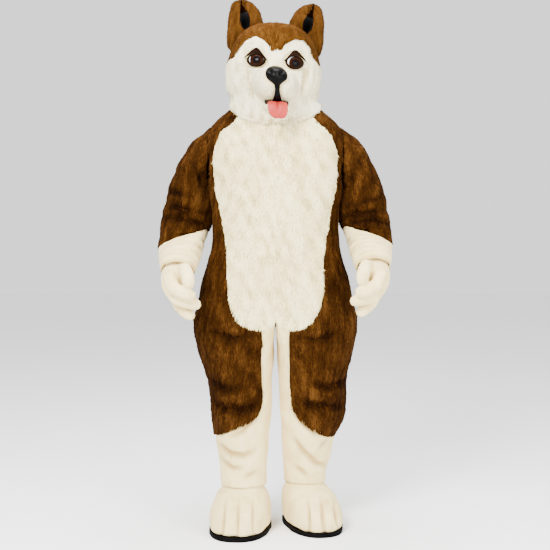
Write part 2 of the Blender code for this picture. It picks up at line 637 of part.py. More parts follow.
# ---------------------------------------------------------------- cloth walls
class Cloth:
    """A sheet of matching outer and inner points that is closed into a wall."""

    def __init__(self):
        self.outer, self.inner, self.faces, self.places = [], [], [], {}

    def vertex(self, outer, inner):
        key = tuple(round(value, POINT_PLACES) for value in outer)
        if key not in self.places:
            self.places[key] = len(self.outer)
            self.outer.append(Vector(outer))
            self.inner.append(Vector(inner))
        return self.places[key]

    def grid(self, rows, closed=False):
        """Add rows of (outer, inner) pairs; a closed grid joins its last column to its first."""
        numbers = [[self.vertex(*pair) for pair in row] for row in rows]
        for upper, lower in zip(numbers, numbers[1:]):
            count = len(upper)
            for c in range(count if closed else count - 1):
                d = (c + 1) % count
                face = [upper[c], lower[c], lower[d], upper[d]]
                face = [n for k, n in enumerate(face) if n != face[k - 1]]
                if len(face) > 2:
                    self.faces.append(face)
        return self

    def border(self):
        """Each open edge with the face that it belongs to."""
        edges = {}
        for face in self.faces:
            for k, start in enumerate(face):
                edges[(start, face[(k + 1) % len(face)])] = face
        return {edge: face for edge, face in edges.items() if edge[::-1] not in edges}

    def draw_back_border(self, distance):
        """Move the open edges into the sheet, square to each of them."""
        moves = {}
        for (start, end), face in self.border().items():
            along = (self.outer[end] - self.outer[start]).normalized()
            middle = sum((self.outer[n] for n in face), Vector()) / len(face)
            inward = middle - self.outer[start]
            inward = (inward - along * inward.dot(along)).normalized()
            moves.setdefault(start, []).append(inward)
            moves.setdefault(end, []).append(inward)
        for number, directions in moves.items():
            first, second = directions[0], directions[-1]
            move = (first + second) / max(1.0 + first.dot(second), MITRE_LIMIT) * distance
            self.outer[number] = self.outer[number] + move
            self.inner[number] = self.inner[number] + move

    def build(self, name, finish, draw_back=SEAM_HALF):
        order = [tuple(round(value, ORDER_PLACES) for value in (p.z, p.y, abs(p.x)))
                 for p in self.outer]
        self.draw_back_border(draw_back)
        count = len(self.outer)
        faces = list(self.faces)
        faces += [[n + count for n in reversed(face)] for face in self.faces]
        for start, end in self.border():
            faces += border_wall(start, end, count, order[start] < order[end])
        return add_mesh(name, self.outer + self.inner, faces, finish)


def border_wall(start, end, count, rising):
    """Two triangles whose diagonal is the same on both pieces of a seam."""
    if rising:
        return [[end, start, end + count], [start, start + count, end + count]]
    return [[end, start, start + count], [end, start + count, end + count]]


def signed_volume(points, faces):
    volume = 0.0
    for face in faces:
        for k in range(1, len(face) - 1):
            volume += points[face[0]].dot(points[face[k]].cross(points[face[k + 1]]))
    return volume


def add_mesh(name, points, faces, finish, crease=CREASE_ANGLE):
    if signed_volume(points, faces) < 0:
        faces = [face[::-1] for face in faces]
    mesh = bpy.data.meshes.new(name)
    mesh.from_pydata([tuple(point) for point in points], [], faces)
    mesh.validate()
    mesh.materials.append(finish)
    mesh.shade_smooth()
    mesh.set_sharp_from_angle(angle=math.radians(crease))
    return add_object(name, mesh)


def add_object(name, mesh):
    made = bpy.data.objects.new(name, mesh)
    PARTS.objects.link(made)
    made.parent = STAND
    return made


def suit_rows(side, grid):
    return [[suit_wall(side, turn, z, SUIT_WALL) for turn, z in row] for row in grid]


def off_middle(side, rows):
    """Keep both points of each pair on their own side, clear of the other leg."""
    for row in rows:
        for pair in row:
            for point in pair:
                point.x = side * max(side * point.x, LEGS_APART)
    return rows


# ---------------------------------------------------------------- suit panels
def belly(side):
    edge = belly_border(side)
    middle = [(FRONT_MIDDLE, z) for _, z in edge[:-1]] + [(FRONT_MIDDLE, NOTCH)]
    bottom = on_suit(side, BELLY_LOBE)
    top = straight(middle[0], edge[0], len(bottom) - 1)
    grid = fill(top, bottom, middle, edge)
    cloth = Cloth().grid(suit_rows(side, grid))
    return cloth.build(f"belly_{SIDE_NAMES[side]}", FINISH["cream_fur"])


def front(side):
    lobe = on_suit(side, BELLY_LOBE[:LOBE_ON_LEG - 1:-1])
    left = belly_border(side)[:-1] + lobe + on_suit(side, STRIP_SEAM[side][1:])
    right = side_border(side, -1)
    bottom = knee_border(side, back=False)
    top = straight(left[0], right[0], len(bottom) - 1)
    cloth = Cloth().grid(suit_rows(side, fill(top, bottom, left, right)))
    return cloth.build(f"front_{SIDE_NAMES[side]}", FINISH["brown_fur"])


def back(side):
    left, right = side_border(side, 1), back_border(side)
    bottom = knee_border(side, back=True)[::-1]
    top = straight(left[0], right[0], len(bottom) - 1)
    cloth = Cloth().grid(suit_rows(side, fill(top, bottom, left, right)))
    return cloth.build(f"back_{SIDE_NAMES[side]}", FINISH["brown_fur"])


def leg(side):
    """The strip between the legs, running on into the lower leg as one piece."""
    crotch = [(FRONT_MIDDLE - STRIP_TOP_FRONT, STRIP_TOP_Z), (-math.pi / 2, CROTCH),
              (BACK_MIDDLE - FULL_TURN + STRIP_TOP_BACK, CROTCH), (BACK_MIDDLE - FULL_TURN, CROTCH)]
    top = on_suit(side, BELLY_LOBE[LOBE_ON_LEG:0:-1]) + [(FRONT_MIDDLE, NOTCH - NOTCH_GAP)] + crotch
    front_edge = on_suit(side, STRIP_SEAM[side])
    back_edge = [(turn - FULL_TURN, z) for turn, z in
                 [(BACK_MIDDLE, CROTCH)] + on_suit(side, STRIP_BACK[1:], back=True)]
    bottom = straight(front_edge[-1], back_edge[-1], len(top) - 1)
    strip = fill(top, bottom, front_edge, back_edge)
    cloth = Cloth().grid(off_middle(side, suit_rows(side, strip)))
    around_back = [(turn - FULL_TURN, z) for turn, z in knee_border(side, back=True)[1:]]
    around_front = [(turn - FULL_TURN, z) for turn, z in knee_border(side, back=False)[-2:0:-1]]
    ring = bottom + around_back + around_front
    hem = [(front_edge[-1][0] - FULL_TURN * step / len(ring), LEG_HEM) for step in range(len(ring))]
    tube = [[mix(high, low, share) for high, low in zip(ring, hem)] for share in SHIN_ROWS]
    cloth.grid(off_middle(side, suit_rows(side, tube)), closed=True)
    return cloth.build(f"leg_{SIDE_NAMES[side]}", FINISH["white_plush"])


# ---------------------------------------------------------------- arms
def shrink(ring, thickness):
    """Pairs of a ring's points and the same points drawn in towards its middle."""
    middle = sum(ring, Vector()) / len(ring)
    return [(point, point + (middle - point).normalized() * thickness) for point in ring]


def arm_angles():
    return [math.pi * step / ARMHOLE_STEPS for step in range(2 * ARMHOLE_STEPS)]


def armhole_ring(side):
    loop = armhole_half(-1) + armhole_half(1)[-2:0:-1]
    return [mirrored(side, half_point(side, turn, z)) for turn, z in loop]


def sleeve_ring(side, ring, lift):
    middle = Vector(((ring.outer_x + ring.inner_x) / 2, ring.middle_y,
                     (ring.outer_z + ring.inner_z) / 2 + lift))
    half = Vector(((ring.outer_x - ring.inner_x) / 2, 0, (ring.outer_z - ring.inner_z) / 2))
    ahead = Vector((0, -ring.depth, ring.rise))
    return arm_ring(side, middle, half, ahead)


def sleeve_rings(side):
    last = len(SLEEVE_RINGS) - 1
    return [sleeve_ring(side, ring, ARM_RAISE[side] * number / last)
            for number, ring in enumerate(SLEEVE_RINGS)]


def sleeve(side):
    rings = [armhole_ring(side)] + sleeve_rings(side)
    cloth = Cloth().grid([shrink(ring, SUIT_WALL) for ring in rings], closed=True)
    return cloth.build(f"sleeve_{SIDE_NAMES[side]}", FINISH["brown_fur"])


def arm_ring(side, middle, out, ahead):
    """An oval ring from its middle and its two half axes."""
    points = [middle + out * math.cos(angle) + ahead * math.sin(angle) for angle in arm_angles()]
    return [mirrored(side, point) for point in points]


def forearm_ring(side, ring):
    front = Vector((FOREARM_X, ring.front_y, ring.front_z + ARM_RAISE[side]))
    back = Vector((FOREARM_X, ring.back_y, ring.back_z + ARM_RAISE[side]))
    ahead = (front - back) / 2
    out = Vector((ring.across + ring.swell, 0, -ring.drop))
    return arm_ring(side, (front + back) / 2, out, ahead * (1 + ring.swell / ahead.length))


def forearm(side):
    rings = [sleeve_rings(side)[-1]]
    rings += [forearm_ring(side, ring) for ring in FOREARM_RINGS]
    cloth = Cloth().grid([shrink(ring, SUIT_WALL) for ring in rings], closed=True)
    return cloth.build(f"forearm_{SIDE_NAMES[side]}", FINISH["white_plush"])


# ---------------------------------------------------------------- gloves
def smooth_path(joints, steps):
    """Points and radii along a bent path, eased through its middle joints."""
    points = [Vector(joint[:3]) for joint in joints]
    result = []
    for i in range(len(joints) - 1):
        before = points[max(i - 1, 0)]
        start, end = points[i], points[i + 1]
        after = points[min(i + 2, len(points) - 1)]
        for step in range(steps):
            t = step / steps
            place = 0.5 * (2 * start + (end - before) * t
                           + (2 * before - 5 * start + 4 * end - after) * t * t
                           + (3 * start - before - 3 * end + after) * t ** 3)
            radius = joints[i].radius + (joints[i + 1].radius - joints[i].radius) * t
            result.append((place, radius))
    result.append((points[-1], joints[-1].radius))
    return result


def finger_rings(joints, shrink_by, open_by):
    """Middles, radii and directions of a tube's rings, its last one on the rounded tip."""
    path = smooth_path(joints, 1 if shrink_by else 2)
    last = len(path) - 1
    rings = []
    for k, (place, radius) in enumerate(path):
        way = (path[min(k + 1, last)][0] - path[max(k - 1, 0)][0]).normalized()
        rings.append((place, radius - shrink_by, way))
    if open_by > 0:
        place, radius, way = rings[0]
        rings[0] = (place - way * open_by, radius, way)
    place, radius, way = rings[-1]
    reach, narrow = radius * math.sin(TIP_ANGLE), radius * math.cos(TIP_ANGLE)
    rings.append((place + way * reach, narrow, way))
    return rings, place + way * radius


def sausage(name, joints, sides, shrink_by=0.0, open_by=0.0):
    """A closed round-ended tube; open_by runs its first end on past the joint."""
    rings, tip = finger_rings(joints, shrink_by, open_by)
    points, faces = [], []
    spin = Vector((0, 0, 1)).cross(rings[0][2]).normalized()
    for place, radius, way in rings:
        spin = (spin - way * spin.dot(way)).normalized()
        other = way.cross(spin)
        for k in range(sides):
            angle = FULL_TURN * k / sides
            points.append(place + (spin * math.cos(angle) + other * math.sin(angle)) * radius)
    for r in range(len(rings) - 1):
        for k in range(sides):
            n = (k + 1) % sides
            faces.append([r * sides + k, r * sides + n, (r + 1) * sides + n, (r + 1) * sides + k])
    faces.append(list(range(sides))[::-1])
    last = (len(rings) - 1) * sides
    faces += [[last + k, last + (k + 1) % sides, len(points)] for k in range(sides)]
    return add_mesh(name, points + [tip], faces, FINISH["white_plush"])


def cutter(name, joints, sides, shrink_by=0.0, open_by=0.0):
    """A tube that only shapes another piece."""
    made = sausage(name, joints, sides, shrink_by, open_by)
    PARTS.objects.unlink(made)
    CUTTERS.objects.link(made)
    made.hide_render = True
    made.display_type = "WIRE"
    return made


def combine(target, cutter, operation):
    step = target.modifiers.new(operation.lower(), "BOOLEAN")
    step.operation, step.solver, step.object = operation, "MANIFOLD", cutter


def on_side(side, joints):
    return [Joint(joint.x * side, joint.y, joint.z + ARM_RAISE[side], joint.radius)
            for joint in joints]


def glove(side):
    """A palm and four digits joined into one wall, open at the wrist."""
    name = f"glove_{SIDE_NAMES[side]}"
    palm = on_side(side, PALM)
    digits = [on_side(side, digit) for digit in DIGITS]
    made = sausage(name, palm, PALM_SIDES)
    for number, digit in enumerate(digits):
        combine(made, cutter(f"{name}_digit_{number}", digit, DIGIT_SIDES), "UNION")
    hollow = cutter(f"{name}_hollow", palm, PALM_HOLLOW_SIDES, GLOVE_WALL, WRIST_OPEN_BY)
    combine(made, hollow, "DIFFERENCE")
    for number, digit in enumerate(digits):
        hollow = cutter(f"{name}_digit_hollow_{number}", digit, DIGIT_HOLLOW_SIDES, GLOVE_WALL)
        combine(made, hollow, "DIFFERENCE")
    return made


# ---------------------------------------------------------------- boots
def boot_angles():
    """Turns of a boot's columns: close together over the toes, wide round the heel."""
    right = [math.asin(share ** (BOOT_ROUNDNESS / 2)) for share in TOE_COLUMNS]
    toes = [-angle for angle in right[:0:-1]] + right
    heel = [math.pi / 2 + math.pi * step / (HEEL_COLUMNS + 1) for step in range(HEEL_COLUMNS + 2)]
    return toes + heel


def toe_groove(share, z, ahead):
    fade = ease((TOE_SEAM_TOP - z) / TOE_SEAM_FADE)
    fade *= ease((ahead - TOE_SEAM_START) / TOE_SEAM_RUN)
    return sum(TOE_SEAM_DEPTH * fade * math.exp(-((share - seam) / TOE_SEAM_WIDTH) ** 2)
               for seam in TOE_SEAMS)


def boot_point(side, angle, ring, grow=0.0):
    across, ahead = rounded(angle, BOOT_ROUNDNESS)
    drawn = 0.0 if grow else toe_groove(across, ring.z, ahead)
    reach = (ring.front if ahead > 0 else ring.back) + grow - drawn
    half_width = ring.width + BOOT_WIDER[side] * ring.outward + grow
    local = Vector((half_width * across, -reach * ahead, ring.z))
    turned = Matrix.Rotation(math.radians(TURN_OUT[side]), 3, "Z") @ local
    ankle, _, _ = hem_oval(side)
    outward = Vector((BOOT_OUTWARD[side] * ring.outward, 0.0, 0.0))
    return mirrored(side, turned + ankle + outward)


def hem_oval(side):
    """The middle of a leg's hem and its half width and half depth."""
    hem = LEGS[side][-1]
    middle = Vector(((hem.inner + hem.outer) / 2, (hem.front + hem.back) / 2, 0.0))
    return middle, (hem.outer - hem.inner) / 2, (hem.back - hem.front) / 2


def collar_point(side, angle, z):
    """A point of the collar, which stands inside the leg's hem."""
    middle, half_width, half_depth = hem_oval(side)
    turned = angle + math.radians(TURN_OUT[side])
    less = SUIT_WALL + COLLAR_AIR
    return mirrored(side, middle + Vector(((half_width - less) * math.sin(turned),
                                           -(half_depth - less) * math.cos(turned), z)))


def boot(side):
    rings = [[boot_point(side, angle, ring) for angle in boot_angles()] for ring in BOOT_RINGS]
    rings += [[collar_point(side, angle, z) for angle in boot_angles()] for z in COLLAR_HEIGHTS]
    rows = [shrink(ring, BOOT_WALL) for ring in rings]
    return Cloth().grid(rows, closed=True).build(f"boot_{SIDE_NAMES[side]}", FINISH["white_plush"])


def sole(side):
    outline = [boot_point(side, angle, BOOT_RINGS[0], SOLE_MARGIN) for angle in boot_angles()]
    count = len(outline)
    points = [Vector((p.x, p.y, 0.0)) for p in outline]
    points += [Vector((p.x, p.y, SOLE_THICKNESS)) for p in outline]
    faces = [list(range(count))[::-1], list(range(count, 2 * count))]
    faces += [[k, (k + 1) % count, (k + 1) % count + count, k + count] for k in range(count)]
    return add_mesh(f"sole_{SIDE_NAMES[side]}", points, faces, FINISH["black_sole"])


# ---------------------------------------------------------------- head
def skull_point(angle, z):
    across, ahead = rounded(angle, HEAD_ROUNDNESS)
    depth = read(SKULL, "front" if ahead > 0 else "back", z)
    return Vector((read(SKULL, "width", z) * across, -depth * ahead, z))


def ruff_height(angle):
    """The height of the head's lower edge at an angle from the front middle."""
    if angle < math.pi / 2:
        return RUFF_FRONT + (RUFF_SIDE - RUFF_FRONT) * ease(angle / (math.pi / 2)) ** RUFF_CURVE
    return RUFF_SIDE + (RUFF_BACK - RUFF_SIDE) * ease((angle - math.pi / 2) / (math.pi / 2))


def head_wall(side, angle, z, thickness):
    """Matching points of the head's wall: a skull above, lying round the suit's neck below."""
    edge = ruff_height(angle)
    share = ease((RUFF_START - z) / (RUFF_START - edge)) if z < RUFF_START else 0.0
    normal = surface_normal(skull_point, angle, min(z, SKULL[1].z + SKULL_CAP))
    if z > SKULL[0].z - WALL_STEP / 100:
        normal = Vector((0.0, 0.0, 1.0))
    if min(abs(angle), abs(angle - math.pi)) < SAME_TURN / 100:
        normal.x = 0.0
    upright = posed_head(mirrored(side, skull_point(angle, z)))
    across = mirrored(side, normal.normalized())
    if share <= 0:
        return upright, posed_head(mirrored(side, skull_point(angle, z)) - across * thickness)
    neck = mirrored(side, torso_point(angle, z))
    away = mirrored(side, surface_normal(torso_point, angle, z))
    outer = upright.lerp(neck + away * (RUFF_AIR + thickness), share)
    inner = (upright - across * thickness).lerp(neck + away * RUFF_AIR, share)
    return outer, inner


def posed_head(point):
    pose = Matrix.Rotation(HEAD_YAW, 3, "Z") @ Matrix.Rotation(HEAD_ROLL, 3, "Y")
    return pose @ (Vector(point) + Vector((HEAD_X, 0, 0)) - HEAD_PIVOT) + HEAD_PIVOT


def face_seam():
    return [(math.radians(seam.turn), seam.z) for seam in FACE_SEAM]


def cheek_border():
    corner = math.radians(CHEEK_BACK)
    return face_seam() + [(corner, ruff_height(corner) + CHEEK_CORNER)]


def crown(side):
    turns = [math.radians(turn) for turn in CROWN_BACK_TURNS]
    bottom = cheek_border() + [(turn, ruff_height(turn)) for turn in turns]
    count = len(bottom) - 1
    top = [(math.pi * step / count, SKULL[0].z) for step in range(count + 1)]
    rows = []
    for share in CROWN_ROWS:
        row = [mix(high, low, share) for high, low in zip(top, bottom)]
        rows.append([head_wall(side, angle, z, HEAD_WALL) for angle, z in row])
    return Cloth().grid(rows).build(f"crown_{SIDE_NAMES[side]}", FINISH["brown_fur"])


def cheek(side):
    top = cheek_border()
    last = top[-1][0]
    turns = [last * step / (len(top) - 1) for step in range(len(top))]
    bottom = [(turn, ruff_height(turn)) for turn in turns]
    rows = []
    for share in CHEEK_ROWS:
        row = [mix(high, low, share) for high, low in zip(top, bottom)]
        rows.append([head_wall(side, angle, z, HEAD_WALL) for angle, z in row])
    return Cloth().grid(rows).build(f"cheek_{SIDE_NAMES[side]}", FINISH["white_fur"])


def face_y(x, z):
    """How far forward the plain face stands at a place seen from the front."""
    width, depth = read(SKULL, "width", z), read(SKULL, "front", z)
    left_over = 1.0 - min(abs(x) / width, FACE_LIMIT) ** HEAD_ROUNDNESS
    return -depth * left_over ** (1.0 / HEAD_ROUNDNESS)


def head_mesh(name, points, faces, finish, crease=CREASE_ANGLE):
    return add_mesh(name, [posed_head(point) for point in points], faces, finish, crease)


# ---------------------------------------------------------------- muzzle and mouth
def muzzle_size(column, y):
    return hermite([row.y for row in MUZZLE], [getattr(row, column) for row in MUZZLE], y)


def lean(z):
    """How far the muzzle and the mouth lean aside at a height."""
    return MOUTH_LEAN * (LEAN_FROM - z)


def muzzle_ring_point(angle, y):
    across, rise = rounded(angle, MUZZLE_ROUNDNESS)
    height = muzzle_size("up" if rise > 0 else "down", y)
    cleft = LIP_CLEFT * math.exp(-(across / CLEFT_WIDTH) ** 2) * ease(-rise * 2.0)
    cleft *= ease((CLEFT_START_Y - y) / CLEFT_FADE) * min(height / CLEFT_HEIGHT, 1.0)
    level = muzzle_size("middle_z", y) + height * rise
    return Vector((muzzle_size("width", y) * across + lean(level), y + cleft, level + cleft))


def muzzle():
    """A hollow dome on the face, its back edge following the face."""
    angles = [FULL_TURN * k / MUZZLE_COLUMNS for k in range(MUZZLE_COLUMNS)]
    rows = []
    for number, ring in enumerate(MUZZLE):
        points = [muzzle_ring_point(angle, ring.y) for angle in angles]
        if number == 0:
            for point in points:
                point.y = face_y(point.x, point.z) - LAY_ON - SEAM_HALF
        heart = lean(ring.middle_z)
        middle = Vector((heart, ring.y + MUZZLE_HEART, ring.middle_z))
        pairs = []
        for point in points:
            inner = point + (middle - point).normalized() * MUZZLE_WALL
            if number == 0:
                inner = point + (Vector((heart, 0, ring.middle_z)) - point).normalized() * MUZZLE_WALL
                inner.y = face_y(inner.x, inner.z) - LAY_ON - SEAM_HALF
            pairs.append((posed_head(point), posed_head(inner)))
        rows.append(pairs)
    cloth = Cloth().grid(rows, closed=True)
    return cloth.build("muzzle", FINISH["white_fur"], draw_back=0.0)


def muzzle_y(x, z):
    """How far forward the muzzle stands at a place seen from the front."""
    low, high = MUZZLE[0].y, MUZZLE[-1].y
    for _ in range(SEARCH_STEPS):
        y = (low + high) / 2
        aside = z - muzzle_size("middle_z", y)
        width, height = muzzle_size("width", y), muzzle_size("up" if aside > 0 else "down", y)
        reach = (abs(x - lean(z)) / width) ** MUZZLE_ROUNDNESS
        reach += (abs(aside) / height) ** MUZZLE_ROUNDNESS
        if reach < 1.0:
            low = y
        else:
            high = y
    return (low + high) / 2


def muzzle_under(x, y):
    """The height of the muzzle's lower side over a place seen from below."""
    share = min(abs(x - lean(LINING_TOP_Z)) / muzzle_size("width", y), 1.0)
    drop = (1.0 - share ** MUZZLE_ROUNDNESS) ** (1.0 / MUZZLE_ROUNDNESS)
    return muzzle_size("middle_z", y) - muzzle_size("down", y) * drop


def front_y(x, z):
    return min(face_y(x, z), muzzle_y(x, z))


def dome(name, finish, outline, ground, rise, lift):
    """A closed cushion on a ground surface: outline is a list of (x, z) round a middle."""
    centre_x = sum(x for x, _ in outline) / len(outline)
    centre_z = sum(z for _, z in outline) / len(outline)
    count, rings = len(outline), DOME_RINGS
    points, faces = [], []
    for layer in (0, 1):
        for r in range(rings, 0, -1):
            share = r / rings
            for x, z in outline:
                px, pz = centre_x + (x - centre_x) * share, centre_z + (z - centre_z) * share
                height = lift + (0.0 if layer == 0 else rise * math.sqrt(max(1 - share ** 2, 0.0)))
                height += DOME_EDGE if layer else 0.0
                points.append(Vector((px, ground(px, pz) - height, pz)))
        height = lift + (rise + DOME_EDGE if layer else 0.0)
        points.append(Vector((centre_x, ground(centre_x, centre_z) - height, centre_z)))
    block = rings * count + 1
    for layer in (0, 1):
        base = layer * block
        for r in range(rings - 1):
            for k in range(count):
                n = (k + 1) % count
                quad = [base + r * count + k, base + r * count + n,
                        base + (r + 1) * count + n, base + (r + 1) * count + k]
                faces.append(quad if layer else quad[::-1])
        for k in range(count):
            n = (k + 1) % count
            tri = [base + (rings - 1) * count + k, base + (rings - 1) * count + n, base + block - 1]
            faces.append(tri if layer else tri[::-1])
    for k in range(count):
        n = (k + 1) % count
        faces.append([k, n, block + n, block + k])
    return head_mesh(name, points, faces, finish)


def oval(patch, side, count):
    return [(side * patch.across + patch.half_width * math.cos(FULL_TURN * k / count),
             patch.z + patch.half_height * math.sin(FULL_TURN * k / count)) for k in range(count)]


def eye(side):
    outline = oval(EYE, side, EYE_COLUMNS)
    return dome(f"eye_{SIDE_NAMES[side]}", FINISH["brown_eye"], outline, face_y, EYE.rise, EYE_AIR)


def lid_ground(side):
    """The face with the eye on it, wide enough for the lid to clear the eye's rim."""
    def ground(x, z):
        reach = math.hypot((x - side * EYE.across) / EYE.half_width, (z - EYE.z) / EYE.half_height)
        over_eye = EYE.rise * math.sqrt(max(1.0 - (reach / EYE_SPREAD) ** 2, 0.0))
        height = (LID_OVER_FACE + over_eye) * ease((LID_FADE_END - reach) / LID_FADE)
        return face_y(x, z) - height
    return ground


def eyelid(side):
    """A thick strip over the eye that runs down to both of its corners."""
    ground = lid_ground(side)
    rows = []
    for share in LID_ROWS:
        row = []
        for lid in LID:
            x, z = side * lid.across, lid.bottom + (lid.top - lid.bottom) * share
            under = Vector((x, ground(x, z) - LID_AIR, z))
            over = under - Vector((0, LID_THICKNESS + LID_BULGE * math.sin(math.pi * share), 0))
            row.append((posed_head(over), posed_head(under)))
        rows.append(row)
    return Cloth().grid(rows).build(f"eyelid_{SIDE_NAMES[side]}", FINISH["dark_lid"],
                                    draw_back=0.0)


def nose():
    half = [(across, NOSE_Z + up) for across, up in NOSE_OUTLINE]
    outline = half + [(-across, z) for across, z in reversed(half[1:])]
    leaning = [(across + lean(z), z) for across, z in outline]
    return dome("nose", FINISH["black_gloss"], leaning, nose_ground, NOSE_RISE, NOSE_AIR)


def nose_ground(x, z):
    """The muzzle's front, or the nose's own flat back where it overhangs."""
    return min(front_y(x, z), NOSE_BACK_Y)


def philtrum_ground(x, z):
    """The muzzle's front, drawn in with the lip's cleft."""
    y = front_y(x, z)
    across = (x - lean(z)) / muzzle_size("width", y)
    return y + CLEFT_FOLLOWED * LIP_CLEFT * math.exp(-(across / CLEFT_WIDTH) ** 2)


def philtrum():
    """A black strip from the nose's foot to the lip, wider at its foot."""
    rows = []
    for step in range(PHILTRUM_STEPS + 1):
        down = step / PHILTRUM_STEPS
        z = PHILTRUM_TOP + (PHILTRUM_END - PHILTRUM_TOP) * down
        half = PHILTRUM_WIDTH * (1.0 + PHILTRUM_FLARE * down ** 4)
        row = []
        for across in (-1.0, 0.0, 1.0):
            x = half * across + lean(z)
            under = Vector((x, philtrum_ground(x, z) - PHILTRUM_AIR, z))
            over = under - Vector((0, PHILTRUM_RISE, 0))
            row.append((posed_head(over), posed_head(under)))
        rows.append(row)
    return Cloth().grid(rows).build("philtrum", FINISH["black_gloss"], draw_back=0.0)


def skull_height(x, y):
    """How high something just clear of the skull stands over a place seen from above."""
    low, high = EAR_LOWEST, SKULL[0].z
    for _ in range(SEARCH_STEPS):
        z = (low + high) / 2
        width = read(SKULL, "width", z) + EAR_AIR
        depth = read(SKULL, "front" if y < 0 else "back", z) + EAR_AIR
        if (abs(x) / width) ** HEAD_ROUNDNESS + (abs(y) / depth) ** HEAD_ROUNDNESS < 1.0:
            low = z
        else:
            high = z
    return (low + high) / 2


def ear_point(side, ring, around, inset):
    x = ring.x + (ring.half_width - inset) * math.sin(around)
    y = ring.y - (ring.half_depth - inset) * math.cos(around)
    root = skull_height(x, y) + LAY_ON
    z = root + (EAR_TIP.z - TIP_INSET * inset - root) * ring.share
    return posed_head(Vector((side * x, y, z)))


def ear_shell(side, inset, wall, rings, skip):
    """Rows of an ear's wall; skip leaves out columns on each side of the slot."""
    rows = []
    for ring in rings:
        open_turn = FULL_TURN - 2 * ring.slot
        turns = [ring.slot + open_turn * c / EAR_COLUMNS
                 for c in range(skip, EAR_COLUMNS + 1 - skip)]
        rows.append([(ear_point(side, ring, turn, inset), ear_point(side, ring, turn, inset + wall))
                     for turn in turns])
    return rows


def ear(side):
    rows = ear_shell(side, 0.0, EAR_WALL, EAR, 0)
    tip = posed_head(mirrored(side, EAR_TIP))
    under = posed_head(mirrored(side, EAR_TIP - Vector((0, 0, TIP_WALLS * EAR_WALL))))
    rows.append([(tip, under)] * (EAR_COLUMNS + 1))
    cloth = Cloth().grid(rows)
    return cloth.build(f"ear_{SIDE_NAMES[side]}", FINISH["brown_fur"], draw_back=0.0)


def ear_lining(side):
    cloth = Cloth().grid(ear_shell(side, EAR_WALL + EAR_LINING_AIR, EAR_LINING_WALL, EAR[:-1], 1))
    return cloth.build(f"ear_lining_{SIDE_NAMES[side]}", FINISH["black_gloss"], draw_back=0.0)


def jaw_point(around, down, inset):
    width, length, depth = JAW_WIDTH - inset, JAW_LENGTH - inset, JAW_DEPTH - inset
    level = math.cos(down)
    z = JAW_RIM_Z - depth * math.sin(down)
    return posed_head(Vector((width * math.cos(around) * level + lean(z),
                              JAW_BACK_Y - length * math.sin(around) * level, z)))


def jaw():
    """A shallow scoop under the muzzle, open towards the mouth."""
    rows = []
    for row in range(JAW_ROWS + 1):
        down = math.pi / 2 * row / JAW_ROWS
        around = [math.pi * c / JAW_COLUMNS for c in range(JAW_COLUMNS + 1)]
        rows.append([(jaw_point(turn, down, 0.0), jaw_point(turn, down, JAW_WALL))
                     for turn in around])
    return Cloth().grid(rows).build("jaw", FINISH["white_fur"], draw_back=0.0)


def lining_point(turn, inset, top):
    """A point of the lining's top or bottom edge; the top spreads and follows the muzzle."""
    width = JAW_WIDTH - inset + (LINING_SPREAD if top else 0.0)
    y = JAW_BACK_Y - (JAW_LENGTH - LINING_BACK - inset) * math.sin(turn)
    across = width * math.cos(turn)
    z = LINING_BOTTOM_Z
    if top:
        z = muzzle_under(across + lean(LINING_TOP_Z), y) - LINING_AIR
    return posed_head(Vector((across + lean(z), y, z)))


def mouth_lining():
    """A black band that stands in the jaw and closes the mouth up to the muzzle."""
    turns = [LINING_START + (math.pi - 2 * LINING_START) * c / JAW_COLUMNS
             for c in range(JAW_COLUMNS + 1)]
    rows = [[(lining_point(turn, LINING_INSET, top),
              lining_point(turn, LINING_INSET + LINING_WALL, top)) for turn in turns]
            for top in (True, False)]
    return Cloth().grid(rows).build("mouth_lining", FINISH["black_gloss"], draw_back=0.0)


def tongue():
    rows = []
    for number, place in enumerate(TONGUE):
        before, after = TONGUE[max(number - 1, 0)], TONGUE[min(number + 1, len(TONGUE) - 1)]
        along = Vector((0, after.y - before.y, after.z - before.z)).normalized()
        normal = Vector((1, 0, 0)).cross(along)
        row = []
        for c in range(TONGUE_COLUMNS + 1):
            across = 2.0 * c / TONGUE_COLUMNS - 1.0
            crease = TONGUE_CREASE * math.exp(-(across / CREASE_SPREAD) ** 2)
            edge = TONGUE_CURL * across ** 2
            base = Vector((place.half_width * across + lean(place.z), place.y, place.z))
            row.append((posed_head(base + normal * (crease + edge)),
                        posed_head(base + normal * (TONGUE_WALL + UNDER_CURL * edge))))
        rows.append(row)
    return Cloth().grid(rows).build("tongue", FINISH["pink_cloth"], draw_back=0.0)


def build_all():
    for side in (RIGHT, LEFT):
        belly(side)
        front(side)
        back(side)
        leg(side)
        sleeve(side)
        forearm(side)
        glove(side)
        boot(side)
        sole(side)
        crown(side)
        cheek(side)
        eye(side)
        eyelid(side)
        ear(side)
        ear_lining(side)
    muzzle()
    nose()
    philtrum()
    jaw()
    mouth_lining()
    tongue()


clear_scene()
PARTS = new_collection("dog_mascot_costume")
CUTTERS = new_collection("cutters")
STAND = bpy.data.objects.new("stand", None)
STAND.location = (0.0, 0.0, -ORIGIN_HEIGHT)
PARTS.objects.link(STAND)
FINISH = {
    "brown_fur": material("brown_fur", (0.17, 0.062, 0.018), 0.9, 0.3),
    "cream_fur": material("cream_fur", (0.86, 0.80, 0.68), 0.9, 0.3),
    "white_fur": material("white_fur", (0.88, 0.84, 0.75), 0.9, 0.3),
    "white_plush": material("white_plush", (0.88, 0.84, 0.75), 0.95, 0.3),
    "brown_eye": material("brown_eye", (0.05, 0.016, 0.006), 0.1),
    "dark_lid": material("dark_lid", (0.05, 0.022, 0.012), 0.5),
    "black_gloss": material("black_gloss", (0.012, 0.012, 0.013), 0.18),
    "pink_cloth": material("pink_cloth", (0.80, 0.25, 0.22), 0.6),
    "black_sole": material("black_sole", (0.02, 0.02, 0.022), 0.6),
}
